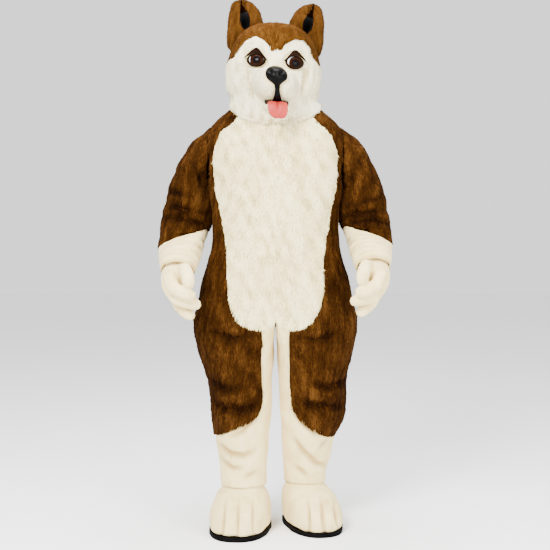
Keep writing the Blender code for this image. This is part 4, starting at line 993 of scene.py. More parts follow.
def lay_locks(name: str, shape: Shape, pile: Pile, comb: Comb, seed: int,
              clearings: Sequence[Clearing] = ()) -> bpy.types.Object:
    """Covers a surface with locks: closed spindles, each bent over at its middle.

    Args:
        name: The fur piece's name.
        shape: The backing's outer side.
        pile: How the locks stand.
        comb: Which way they run.
        seed: Which random draws.
        clearings: Places kept bare.

    Returns:
        The fur, with the attributes tone and along and a map for baking.
    """
    draw = np.random.default_rng(seed)
    roots = Roots.scatter(shape, pile.locks, draw)
    root, up = roots.read(shape, shape.points), unit(roots.read(shape, shape.normals))
    count = len(root)
    way = comb(root)
    way = unit(way - up * (way * up).sum(axis=1)[:, None])
    aside = np.cross(up, way)
    turn = pile.stray * (SWIRL * waves(root, pile.clump * SWIRL_CLUMPS, seed + 1)
                         + SWIRL_SINGLE * draw.normal(size=count))
    way = way * np.cos(turn)[:, None] + aside * np.sin(turn)[:, None]
    aside = np.cross(up, way)
    gather = waves(root * STREAKS, pile.clump, seed + 2)
    length = pile.length * LENGTHS.shares(gather, draw)
    past = shape.gaps(root + way * length[:, None])
    length *= np.clip(pile.hem / np.maximum(past, TINY), SHORTEST, 1.0)
    rise = pile.rise * RISES.shares(gather, draw)
    width = pile.width * draw.uniform(*WIDTHS, count)
    middle = root + way * (BEND_AT * length)[:, None] + up * rise[:, None]
    tip = root + way * length[:, None] + up * (rise * draw.uniform(*TIP_RISES, count))[:, None]
    half = aside * (0.5 * width)[:, None]
    points = np.stack([root - up * ROOT_DEPTH, middle - half, middle + half, tip], axis=1)
    soft = aside * pile.roundness
    facing = np.stack([unit(up + FOOT_LEAN * way), unit(up - soft), unit(up + soft),
                       unit(up + TIP_LEAN * way)], axis=1)
    bare = np.zeros(count, bool)
    for clearing in clearings:
        for place in (root, middle, tip):
            bare |= clearing.holds(place)
    tone = 0.5 + GATHER_TONE * gather + pile.mottle * draw.normal(size=count)
    # painted shade: locks in folds are darker
    tone = np.clip(tone - FOLD_SHADE * roots.read(shape, shape.fold), 0.0, 1.0)
    return lock_mesh(name, points[~bare], facing[~bare], tone[~bare])


def lock_mesh(name: str, points: np.ndarray, facing: np.ndarray,
              tone: np.ndarray) -> bpy.types.Object:
    """Builds the locks' mesh, shaded as softly as the cloth under it.

    Args:
        name: The piece's name.
        points: Four points for each lock.
        facing: A normal for each point.
        tone: One tone for each lock.

    Returns:
        The piece.
    """
    count, corners = len(points), len(LOCK_ALONG)
    faces = (LOCK_FACES[None] + corners * np.arange(count)[:, None, None]).reshape(-1, 3)
    mesh = bpy.data.meshes.new(name)
    mesh.from_pydata(points.reshape(-1, 3), [], faces)
    mesh.attributes.new("tone", "FLOAT", "POINT").data.foreach_set(
        "value", np.repeat(tone, corners))
    mesh.attributes.new("along", "FLOAT", "POINT").data.foreach_set(
        "value", np.tile(LOCK_ALONG, count))
    cells = math.ceil(math.sqrt(count))
    cell = np.repeat(np.stack([np.arange(count) % cells, np.arange(count) // cells], axis=1),
                     LOCK_FACES.size, axis=0)
    half = np.tile(np.repeat(LOCK_HALVES, 3), count)
    corner = np.tile(LOCK_FACES.ravel(), count)
    up = LOCK_ALONG[corner] * (1.0 - 2.0 * MAP_MARGIN) + MAP_MARGIN
    uv = np.stack([(cell[:, 0] + (half + LOCK_ACROSS[corner]) / 2) / cells,
                   (cell[:, 1] + up) / cells], axis=1)
    mesh.uv_layers.new(name="OFBake").data.foreach_set("uv", uv.ravel())
    mesh.shade_smooth()
    mesh.normals_split_custom_set_from_vertices(facing.reshape(-1, 3))
    return add_piece(name, mesh)


# ------------------------------------------------------------------ how a sub-assembly is dressed
CLOTH_THICKNESS = 0.0022
FUR_DEPTH = 0.0052                  # how far the backing lies inside the frame's outer side
FACE_DEPTH = 0.0055
PLUSH_DEPTH = 0.0030
FOLD_SHADE_DEPTH = 0.009                  # a fold this deep is fully shaded
TUCK_DEPTH = 0.0055                 # how far cloth is drawn in under its neighbours' fur
TUCK_WIDTH = 0.012


class Cut(NamedTuple):
    """The flat cut of what shows of a sheet, in metres and square metres."""

    width: float
    length: float
    area: float


def finish_piece(piece: bpy.types.Object, material: str, slot: str, *nodes: str) -> None:
    """Gives a piece its material, puts it on the body and hides the frame's nodes that it stands
    for.

    Args:
        piece: The piece, in place.
        material: The finish's name.
        slot: The record's slot; not used.
        nodes: The frame's nodes that the piece stands for.
    """
    piece.data.materials.clear()
    piece.data.materials.append(FINISHES[material])
    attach(piece, BODY)
    if nodes:
        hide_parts(*nodes)
    LOG.info("%s: %d faces", piece.name, len(piece.data.polygons))


@dataclass
class Cloth:
    """A cut of cloth on a frame node's outer side."""

    node: str
    axis: tuple[Point, ...]
    slot: str
    finish: str
    depth: float
    cut: Optional[Cut] = None       # none on a padded piece
    levels: int = 2
    thickness: float = CLOTH_THICKNESS
    creases: tuple[Crease, ...] = ()
    rumple: float = 0.0             # height of the fine uneven waves
    rumple_length: float = 0.08
    under: tuple[str, ...] = ()     # nodes whose fur hangs over this cloth

    def tucked(self, shape: Shape) -> np.ndarray:
        """How far each point is drawn in under the neighbours' fur.

        Args:
            shape: The cloth's points.

        Returns:
            A depth for each point.
        """
        depth = np.zeros(len(shape.points))
        for node in self.under:
            gap = Shape.of_node(node).gaps(shape.points)
            depth = np.maximum(depth, TUCK_DEPTH * np.exp(-(gap / TUCK_WIDTH) ** 2))
        return depth

    def surface(self, name: str) -> tuple[bpy.types.Object, Shape]:
        """Makes the outer side at the cloth's own depth, with its creases and the painted shade in
        their folds.

        Args:
            name: The piece's name.

        Returns:
            The open sheet and its points.
        """
        piece = copy_node(self.node, name)
        keep_outside(piece, [above_ground(point) for point in self.axis])
        refine(piece, self.levels)
        shape = Shape.of(piece)
        press = np.full(len(shape.points), self.depth)
        # painted shade: how deep each point lies in a fold, stored for the finishes
        fold = np.zeros(len(shape.points))
        for crease in self.creases:
            pressed = crease.press(shape)
            press += pressed
            fold = np.maximum(fold, np.minimum(pressed / FOLD_SHADE_DEPTH, 1.0))
        press += self.tucked(shape)
        if self.rumple:
            press += self.rumple * waves(shape.points, self.rumple_length, len(self.node))
        move_points(piece, shape.points - shape.normals * press[:, None])
        piece.data.shade_smooth()
        piece.data.attributes.new("fold", "FLOAT", "POINT").data.foreach_set("value", fold)
        made = Shape.of(piece)
        made.fold = fold
        return piece, made

    def thicken(self, piece: bpy.types.Object) -> None:
        """Gives the sheet its wall."""
        apply_modifier(piece, "SOLIDIFY", thickness=self.thickness, offset=-1.0,
                       use_even_offset=False)

    def state_cut(self, piece: bpy.types.Object, *fur: bpy.types.Object) -> None:
        """Takes a piece and the fur on it, and does nothing with them."""

    def dress(self) -> None:
        """Makes the finished piece without fur."""
        piece, _ = self.surface(f"{self.node}_cloth")
        self.thicken(piece)
        finish_piece(piece, self.finish, self.slot, self.node)
        self.state_cut(piece)


@dataclass
class FurCloth(Cloth):
    """A cut of long fur: a backing with its locks as a piece on it."""

    hair: str = "brown_fur_hair"
    pile: Pile = Pile(0.022, 0.0027, 0.0044)
    comb: Comb = comb_down
    seed: int = 1
    clearings: tuple[Clearing, ...] = ()

    def dress(self) -> None:
        """Makes the backing and its locks."""
        piece, shape = self.surface(f"{self.node}_backing")
        fur = lay_locks(f"{self.node}_fur", shape, self.pile, self.comb, self.seed,
                        self.clearings)
        self.thicken(piece)
        finish_piece(piece, self.finish, self.slot, self.node)
        finish_piece(fur, self.hair, self.slot)
        self.state_cut(piece, fur)


# ------------------------------------------------------------------ the suit
TRUNK_AXIS: tuple[Point, ...] = ((0.0, 0.0, 1.60), (0.0, 0.0, 0.30))
LEG_AXES: dict[Side, tuple[Point, ...]] = {
    Side.LEFT: ((0.150, 0.000, 0.760), (0.140, 0.010, 0.520), (0.120, 0.035, 0.330),
                (0.109, 0.044, 0.160)),
    Side.RIGHT: ((-0.150, 0.000, 0.760), (-0.126, 0.000, 0.520), (-0.121, -0.008, 0.330),
                 (-0.119, -0.011, 0.160)),
}
# The suit's side swells against the sleeve; this one is given for the left.
ARMPIT_SWELL = Crease(((0.246, 0.0, 1.300), (0.240, 0.0, 1.250), (0.234, 0.0, 1.190)),
                      0.030, -0.008)
KNEE_SWELLS: dict[Side, tuple[Crease, ...]] = {
    Side.RIGHT: (),
    Side.LEFT: (Crease(((0.262, 0.020, 0.520), (0.256, 0.030, 0.440), (0.236, 0.040, 0.350)),
                       0.050, -0.011),),
}
SHIN_SWELLS: dict[Side, Crease] = {
    Side.RIGHT: Crease(((-0.232, 0.0, 0.360), (-0.222, 0.0, 0.290), (-0.210, 0.0, 0.220)),
                       0.045, -0.009),
    Side.LEFT: Crease(((0.232, 0.035, 0.370), (0.218, 0.038, 0.310), (0.200, 0.040, 0.230)),
                      0.045, -0.010),
}
KNEE_FOLDS: dict[Side, tuple[Crease, ...]] = {
    Side.RIGHT: (
        Crease(((-0.250, -0.060, 0.490), (-0.160, -0.148, 0.468), (-0.070, -0.140, 0.480)),
               0.012, 0.018),
        drawn(0.012, 0.006, (-0.080, 0.742), (-0.150, 0.730), (-0.230, 0.752)),
        drawn(0.013, -0.007, (-0.235, 0.500), (-0.160, 0.488), (-0.085, 0.500)),
        drawn(0.015, 0.008, (-0.245, 0.572), (-0.190, 0.545), (-0.130, 0.556)),
    ),
    Side.LEFT: (
        drawn(0.012, 0.006, (0.070, 0.735), (0.140, 0.722), (0.230, 0.748)),
        drawn(0.012, 0.014, (0.262, 0.560), (0.200, 0.548), (0.135, 0.562)),
        drawn(0.012, 0.016, (0.250, 0.470), (0.180, 0.474), (0.092, 0.496)),
        drawn(0.013, -0.006, (0.250, 0.505), (0.180, 0.508), (0.110, 0.524)),
    ),
}
LEG_FOLDS: dict[Side, tuple[Crease, ...]] = {
    Side.RIGHT: (
        drawn(0.011, 0.013, (-0.215, 0.318), (-0.165, 0.288), (-0.115, 0.284), (-0.075, 0.300)),
        drawn(0.010, 0.010, (-0.205, 0.262), (-0.160, 0.236), (-0.120, 0.238)),
        drawn(0.012, 0.009, (-0.070, 0.430), (-0.120, 0.372), (-0.170, 0.356)),
        drawn(0.010, 0.008, (-0.060, 0.222), (-0.110, 0.204)),
        drawn(0.012, 0.007, (-0.052, 0.620), (-0.062, 0.540)),
        Crease(((-0.150, 0.090, 0.300), (-0.090, 0.085, 0.280)), 0.014, 0.006),
    ),
    Side.LEFT: (
        drawn(0.011, 0.013, (0.062, 0.338), (0.100, 0.292), (0.150, 0.246), (0.192, 0.226)),
        drawn(0.012, 0.010, (0.060, 0.455), (0.100, 0.398), (0.155, 0.350)),
        drawn(0.010, 0.010, (0.066, 0.232), (0.118, 0.200)),
        drawn(0.010, 0.008, (0.200, 0.330), (0.168, 0.302)),
        drawn(0.012, 0.007, (0.050, 0.610), (0.058, 0.530)),
        Crease(((0.060, 0.130, 0.300), (0.140, 0.142, 0.280)), 0.014, 0.006),
    ),
}


@dataclass
class Suit:
    """The suit's body: belly, fronts and backs in long fur, legs in plush."""

    belly_cut: Cut = Cut(0.25, 0.82, 0.160)
    front_cut: Cut = Cut(0.34, 1.25, 0.228)
    back_cut: Cut = Cut(0.40, 1.25, 0.380)
    leg_cut: Cut = Cut(0.65, 0.63, 0.233)
    belly_pile: Pile = Pile(0.019, 0.0027, 0.0044, locks=17000, hem=0.016)
    front_pile: Pile = Pile(0.023, 0.0027, 0.0044, locks=19000, hem=0.013)
    back_pile: Pile = Pile(0.026, 0.0034, 0.0048, locks=19000, hem=0.013)
    belly_rumple: float = 0.0018
    brown_rumple: float = 0.0020
    leg_rumple: float = 0.0022
    leg_rumple_length: float = 0.11
    leg_thickness: float = 0.003
    seed: int = 10                  # of the belly's locks; fronts and backs follow by tens

    def half(self, side: Side, number: int) -> None:
        """Makes one side's cuts.

        Args:
            side: The side.
            number: Its number, which tells its random draws from the other side's.
        """
        word = side.word
        belly, front, back = f"belly_{word}", f"front_{word}", f"back_{word}"
        swells = (ARMPIT_SWELL.on(side),) + KNEE_SWELLS[side]
        FurCloth(belly, TRUNK_AXIS, "cream_fur", "cream_backing", FUR_DEPTH, self.belly_cut,
                 hair="cream_fur_hair", pile=self.belly_pile, seed=self.seed + number,
                 rumple=self.belly_rumple).dress()
        FurCloth(front, TRUNK_AXIS, "brown_fur", "brown_backing", FUR_DEPTH, self.front_cut,
                 pile=self.front_pile, seed=self.seed + 10 + number,
                 creases=KNEE_FOLDS[side] + swells, rumple=self.brown_rumple).dress()
        FurCloth(back, TRUNK_AXIS, "brown_fur", "brown_backing", FUR_DEPTH, self.back_cut,
                 pile=self.back_pile, seed=self.seed + 20 + number, creases=swells,
                 rumple=self.brown_rumple).dress()
        Cloth(f"leg_{word}", LEG_AXES[side], "white_plush", "white_plush_nap", PLUSH_DEPTH,
              self.leg_cut, levels=3, thickness=self.leg_thickness,
              creases=LEG_FOLDS[side] + (SHIN_SWELLS[side],), rumple=self.leg_rumple,
              rumple_length=self.leg_rumple_length, under=(front, back, belly)).dress()

    def dress(self) -> None:
        """Makes every cut of the suit's body."""
        for number, side in enumerate(Side):
            self.half(side, number)


# ------------------------------------------------------------------ the arms
class ForearmRing(NamedTuple):
    """A cross section of the left forearm: its half width, its front and its back edge."""

    half_width: float
    front_y: float
    front_z: float
    back_y: float
    back_z: float


class Wrinkle(NamedTuple):
    """A wrinkle that runs part of the way round the forearm."""

    place: float                    # where it crosses the front, 0 at the elbow, 1 at the cuff
    slant: float                    # how far along the forearm it moves for each radian
    start: float                    # first angle from the front, in radians, outward
    end: float                      # last angle
    width: float
    depth: float


FOREARM_X = 0.342
FOREARM_RINGS: tuple[ForearmRing, ...] = (
    ForearmRing(0.094, -0.094, 1.083, 0.088, 1.030),        # the elbow
    ForearmRing(0.080, -0.180, 1.058, -0.034, 0.954),       # the middle
    ForearmRing(0.069, -0.272, 1.006, -0.158, 0.919),       # the cuff's end
)
CUFF_END = Wrinkle(1.00, 0.0, -3.14, 3.14, 0.0130, 0.0080)
WRINKLES: dict[Side, tuple[Wrinkle, ...]] = {
    Side.RIGHT: (
        Wrinkle(0.10, 0.030, -2.2, 0.6, 0.0085, 0.0065),
        Wrinkle(0.27, -0.050, -1.9, 1.2, 0.0075, 0.0055),
        Wrinkle(0.42, 0.040, -2.4, 0.2, 0.0070, 0.0050),
        Wrinkle(0.50, -0.040, -0.4, 2.2, 0.0070, 0.0045),
        Wrinkle(0.64, 0.020, -2.0, 1.4, 0.0065, 0.0045),
        Wrinkle(0.80, -0.020, -1.6, 2.4, 0.0060, 0.0035),
        CUFF_END,
    ),
    Side.LEFT: (
        Wrinkle(0.12, -0.040, -2.3, 0.9, 0.0085, 0.0065),
        Wrinkle(0.25, 0.030, -0.6, 2.4, 0.0075, 0.0045),
        Wrinkle(0.36, 0.040, -2.2, 0.7, 0.0075, 0.0055),
        Wrinkle(0.52, -0.030, -2.0, 1.6, 0.0070, 0.0050),
        Wrinkle(0.68, 0.040, -1.2, 2.2, 0.0065, 0.0040),
        Wrinkle(0.82, -0.030, -2.2, 0.8, 0.0060, 0.0035),
        CUFF_END,
    ),
}
WRINKLE_CORNERS = 9
# The elbow's folds and the sleeve's swell against the suit, all given for the left arm.
SLEEVE_SWELL = Crease(((0.262, 0.0, 1.290), (0.247, 0.0, 1.215), (0.236, 0.0, 1.150)),
                      0.030, -0.017)
SLEEVE_FOLDS: dict[Side, tuple[Crease, ...]] = {
    Side.RIGHT: (
        Crease(((0.415, 0.030, 1.215), (0.350, -0.085, 1.192), (0.240, -0.030, 1.172)),
               0.013, 0.013),
        Crease(((0.420, -0.010, 1.165), (0.330, -0.090, 1.150), (0.245, -0.040, 1.132)),
               0.012, 0.012),
        Crease(((0.400, -0.020, 1.255), (0.330, -0.085, 1.245)), 0.014, 0.008),
        Crease(((0.290, -0.070, 1.360), (0.262, -0.060, 1.270)), 0.013, 0.012),
        SLEEVE_SWELL,
    ),
    Side.LEFT: (
        Crease(((0.410, 0.020, 1.250), (0.340, -0.085, 1.222), (0.262, -0.050, 1.200)),
               0.013, 0.008),
        Crease(((0.420, 0.010, 1.185), (0.330, -0.090, 1.178), (0.245, -0.040, 1.165)),
               0.012, 0.013),
        Crease(((0.430, -0.010, 1.135), (0.350, -0.090, 1.150), (0.270, -0.060, 1.138)),
               0.012, 0.009),
        Crease(((0.295, -0.070, 1.380), (0.266, -0.065, 1.290)), 0.013, 0.008),
        SLEEVE_SWELL,
    ),
}
SLEEVE_AXIS: tuple[Point, ...] = ((0.255, 0.004, 1.370), (0.300, 0.006, 1.300),
                                  (0.325, 0.010, 1.180), (0.340, 0.012, 1.060))


@dataclass
class Arm:
    """A fur sleeve to the elbow, a plush forearm and a padded glove."""

    side: Side
    lift: float                     # how much higher this arm is held
    sleeve_cut: Cut = Cut(0.55, 0.42, 0.162)
    forearm_cut: Cut = Cut(0.47, 0.30, 0.119)
    pile: Pile = Pile(0.022, 0.0027, 0.0044, locks=15000, hem=0.012)
    seed: int = 40                  # the sleeves' locks take the numbers beside it
    sleeve_rumple: float = 0.0020
    forearm_rumple: float = 0.0012
    forearm_rumple_length: float = 0.05
    forearm_thickness: float = 0.003
    glove_grain: float = 0.0032     # size of the cells that blend a glove's digits
    glove_ease: float = 0.5         # how far each round of smoothing goes
    glove_rounds: int = 5
    glove_fill: float = 0.5

    def placed(self, points: Sequence[Point]) -> tuple[Point, ...]:
        """Points given for the left arm, for this one."""
        return tuple(self.side.mirror((x, y, z + self.lift)) for x, y, z in points)

    @staticmethod
    def ring(share: float) -> tuple[Point, Point, float]:
        """The left forearm's cross section at a share of its length.

        Args:
            share: From 0 at the elbow to 1 at the cuff's end.

        Returns:
            Its middle, the way from there to its front edge, and its half width.
        """
        place = (len(FOREARM_RINGS) - 1) * share
        first = min(int(place), len(FOREARM_RINGS) - 2)
        between = ForearmRing(*(a + (b - a) * (place - first) for a, b in
                                zip(FOREARM_RINGS[first], FOREARM_RINGS[first + 1])))
        middle = (FOREARM_X, (between.front_y + between.back_y) / 2,
                  (between.front_z + between.back_z) / 2)
        front = (0.0, (between.front_y - between.back_y) / 2,
                 (between.front_z - between.back_z) / 2)
        return middle, front, between.half_width

    def wrinkle(self, row: Wrinkle) -> Crease:
        """Lays a wrinkle round this forearm.

        Args:
            row: The wrinkle.

        Returns:
            Its crease.
        """
        line = []
        for angle in np.linspace(row.start, row.end, WRINKLE_CORNERS):
            share = min(max(row.place + row.slant * angle, 0.0), 1.0)
            middle, front, across = self.ring(share)
            line.append((middle[0] + across * math.sin(angle),
                         middle[1] + front[1] * math.cos(angle),
                         middle[2] + front[2] * math.cos(angle)))
        return Crease(self.placed(line), row.width, row.depth)

    def sleeve(self) -> None:
        """Makes the fur sleeve."""
        folds = tuple(fold.on(self.side) for fold in SLEEVE_FOLDS[self.side])
        FurCloth(f"sleeve_{self.side.word}", self.placed(SLEEVE_AXIS), "brown_fur",
                 "brown_backing", FUR_DEPTH, self.sleeve_cut, pile=self.pile,
                 seed=self.seed + self.side.value, creases=folds,
                 rumple=self.sleeve_rumple).dress()

    def forearm(self) -> None:
        """Makes the plush forearm, wrinkled and drawn in on the glove at the cuff's end."""
        axis = self.placed([self.ring(share)[0] for share in (0.0, 0.5, 1.0)])
        wrinkles = tuple(self.wrinkle(row) for row in WRINKLES[self.side])
        Cloth(f"forearm_{self.side.word}", axis, "white_plush", "white_plush_nap", PLUSH_DEPTH,
              self.forearm_cut, levels=3, thickness=self.forearm_thickness, creases=wrinkles,
              rumple=self.forearm_rumple, rumple_length=self.forearm_rumple_length,
              under=(f"sleeve_{self.side.word}",)).dress()

    def glove(self) -> None:
        """Makes the padded glove: the frame's wall made soft where digits meet."""
        name = f"glove_{self.side.word}"
        piece = copy_node(name, f"{name}_plush")
        apply_modifier(piece, "REMESH", mode="VOXEL", voxel_size=self.glove_grain,
                       use_smooth_shade=True)
        apply_modifier(piece, "SMOOTH", factor=self.glove_ease, iterations=self.glove_rounds)
        piece.data.shade_smooth()
        finish_piece(piece, "white_plush_nap", "white_plush", name)

    def dress(self) -> None:
        """Makes the whole arm."""
        self.sleeve()
        self.forearm()
        self.glove()


# ------------------------------------------------------------------ the boots
# Where each boot's toe seams lie across: on top of the toes and at the sole.
TOE_SEAMS: dict[Side, tuple[tuple[float, float], ...]] = {
    Side.RIGHT: ((-0.182, -0.190), (-0.134, -0.136), (-0.080, -0.076)),
    Side.LEFT: ((0.118, 0.122), (0.166, 0.176), (0.214, 0.230)),
}
TOE_TOP, TOE_FOOT = 0.128, 0.018
# The upper's axis starts inside the toes and turns up at the ankle.
TOE_OUTWARD = 1.05                  # how far out it starts, as a share of the boot's middle
TOE_BACK, TOE_HEIGHT = 0.09, 0.050  # how far behind the tip and how high it starts
ANKLE_LOW, ANKLE_HIGH = 0.070, 0.180


@dataclass
class Boot:
    """A padded plush boot on its rubber sole."""

    side: Side
    depth: float = 0.0006
    thickness: float = 0.004
    seam_width: float = 0.0055
    seam_depth: float = 0.0085
    rumple: float = 0.0015
    rumple_length: float = 0.09
    fill: float = 0.6
    sole_round: float = 0.003
    sole_bend: float = math.radians(50)     # edges sharper than this are rounded
    sole_sharp: float = math.radians(35)    # edges sharper than this are shaded sharp

    def upper(self) -> None:
        """Makes the padded upper with its toe seams."""
        node = f"boot_{self.side.word}"
        low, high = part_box(node)
        ankle = LEG_AXES[self.side][-1]
        toe = ((low.x + high.x) / 2 * TOE_OUTWARD, low.y + TOE_BACK, TOE_HEIGHT)
        axis = (toe, (ankle[0], ankle[1], ANKLE_LOW), (ankle[0], ankle[1], ANKLE_HIGH))
        seams = tuple(drawn(self.seam_width, self.seam_depth, (top, TOE_TOP), (foot, TOE_FOOT))
                      for top, foot in TOE_SEAMS[self.side])
        cloth = Cloth(node, axis, "white_plush", "white_plush_nap", self.depth, levels=3,
                      thickness=self.thickness, creases=seams, rumple=self.rumple,
                      rumple_length=self.rumple_length)
        piece, _ = cloth.surface(f"{node}_plush")
        cloth.thicken(piece)
        finish_piece(piece, "white_plush_nap", "white_plush", node)

    def sole(self) -> None:
        """Makes the rubber sole."""
        node = f"sole_{self.side.word}"
        piece = copy_node(node, f"{node}_rubber")
        apply_modifier(piece, "BEVEL", width=self.sole_round, segments=3, limit_method="ANGLE",
                       angle_limit=self.sole_bend)
        piece.data.shade_smooth()
        piece.data.set_sharp_from_angle(angle=self.sole_sharp)
        finish_piece(piece, "sole_rubber", "black_sole", node)

    def dress(self) -> None:
        """Makes the whole boot."""
        self.upper()
        self.sole()


# ------------------------------------------------------------------ the head
# Brow ridges round the eyes' upper side and the folds beside the cheeks and on the chin.
FACE_FOLDS: tuple[Crease, ...] = (
    drawn(0.011, -0.007, (-0.127, 1.727), (-0.0955, 1.764), (-0.048, 1.780), (-0.0115, 1.748)),
    drawn(0.011, -0.007, (0.118, 1.733), (0.092, 1.770), (0.046, 1.784), (0.017, 1.750)),
    drawn(0.010, 0.006, (-0.101, 1.705), (-0.088, 1.640), (-0.070, 1.575)),
    drawn(0.010, 0.006, (0.102, 1.709), (0.098, 1.640), (0.083, 1.586)),
    drawn(0.009, 0.005, (-0.120, 1.520), (0.0, 1.492), (0.130, 1.525)),
)


def on_face(width: float, depth: float, *line: Point) -> Crease:
    """A crease drawn on the front, through places on the upright head."""
    return Crease(tuple(on_head(point) for point in line), width, depth, True)


MUZZLE_LOBES: tuple[Crease, ...] = tuple(
    on_face(0.018, -0.006, (0.006 + side.value * 0.034, -0.25, 1.606),
            (0.006 + side.value * 0.030, -0.25, 1.588)) for side in Side)
NOSE_LINES: tuple[Crease, ...] = tuple(
    on_face(0.0060, 0.0100, (side.value * 0.0190, -0.280, 1.640),
            (side.value * 0.0230, -0.280, 1.650)) for side in Side) + (
    on_face(0.0022, 0.0020, (0.001, -0.280, 1.640), (0.002, -0.280, 1.612)),)
TONGUE_LINE = on_face(0.0030, 0.0045, (0.012, -0.240, 1.556), (0.014, -0.250, 1.512))

SKULL_AXIS: tuple[Point, ...] = (on_head((0.0, 0.0, 1.50)), on_head((0.0, 0.0, 1.76)))
MUZZLE_AXIS: tuple[Point, ...] = (on_head((0.0, -0.10, 1.615)), on_head((0.0, -0.24, 1.613)))
JAW_AXIS: tuple[Point, ...] = (on_head((0.012, -0.150, 1.552)), on_head((0.012, -0.205, 1.552)))
# The ear's foot and its middle; these are given for the left.
EAR_AXIS: tuple[Point, ...] = ((0.108, 0.012, 1.790), (0.128, 0.000, 1.925))

CROWN_COMB = comb_from(on_head((0.0, -0.20, 1.66)), 0.25)
CHEEK_COMB = comb_from(on_head((0.0, -0.17, 1.64)), 0.55)
MUZZLE_COMB = comb_from(on_head((0.0, -0.30, 1.64)), 0.15)
JAW_COMB = comb_from(on_head((0.0, -0.26, 1.56)), 0.3)
EAR_DROP = 0.2

# What is added to half the size of an eye, a lid and so on, to tell where hair keeps off.
EYE_MARGIN: Point = (0.003, 0.02, 0.003)
LID_MARGIN: Point = (-0.004, 0.02, -0.006)
NOSE_MARGIN: Point = (0.002, 0.02, 0.001)
CLOSE_NOSE_MARGIN: Point = (0.001, 0.02, 0.0)           # for the muzzle's own short hair
PHILTRUM_MARGIN: Point = (0.002, 0.02, 0.0)

# The strip under the nose is drawn out to the nose's foot and the mouth.
PHILTRUM_STRETCH = np.array([1.20, 1.0, 1.55])
PHILTRUM_SHIFT = np.array([0.0, -0.0015, -0.001])
FROM_BELOW = Vector((0.0, 1.0, 0.12)).normalized()      # the way it is laid on: in and a little up
LAID_FROM = 0.1                                         # how far off it starts


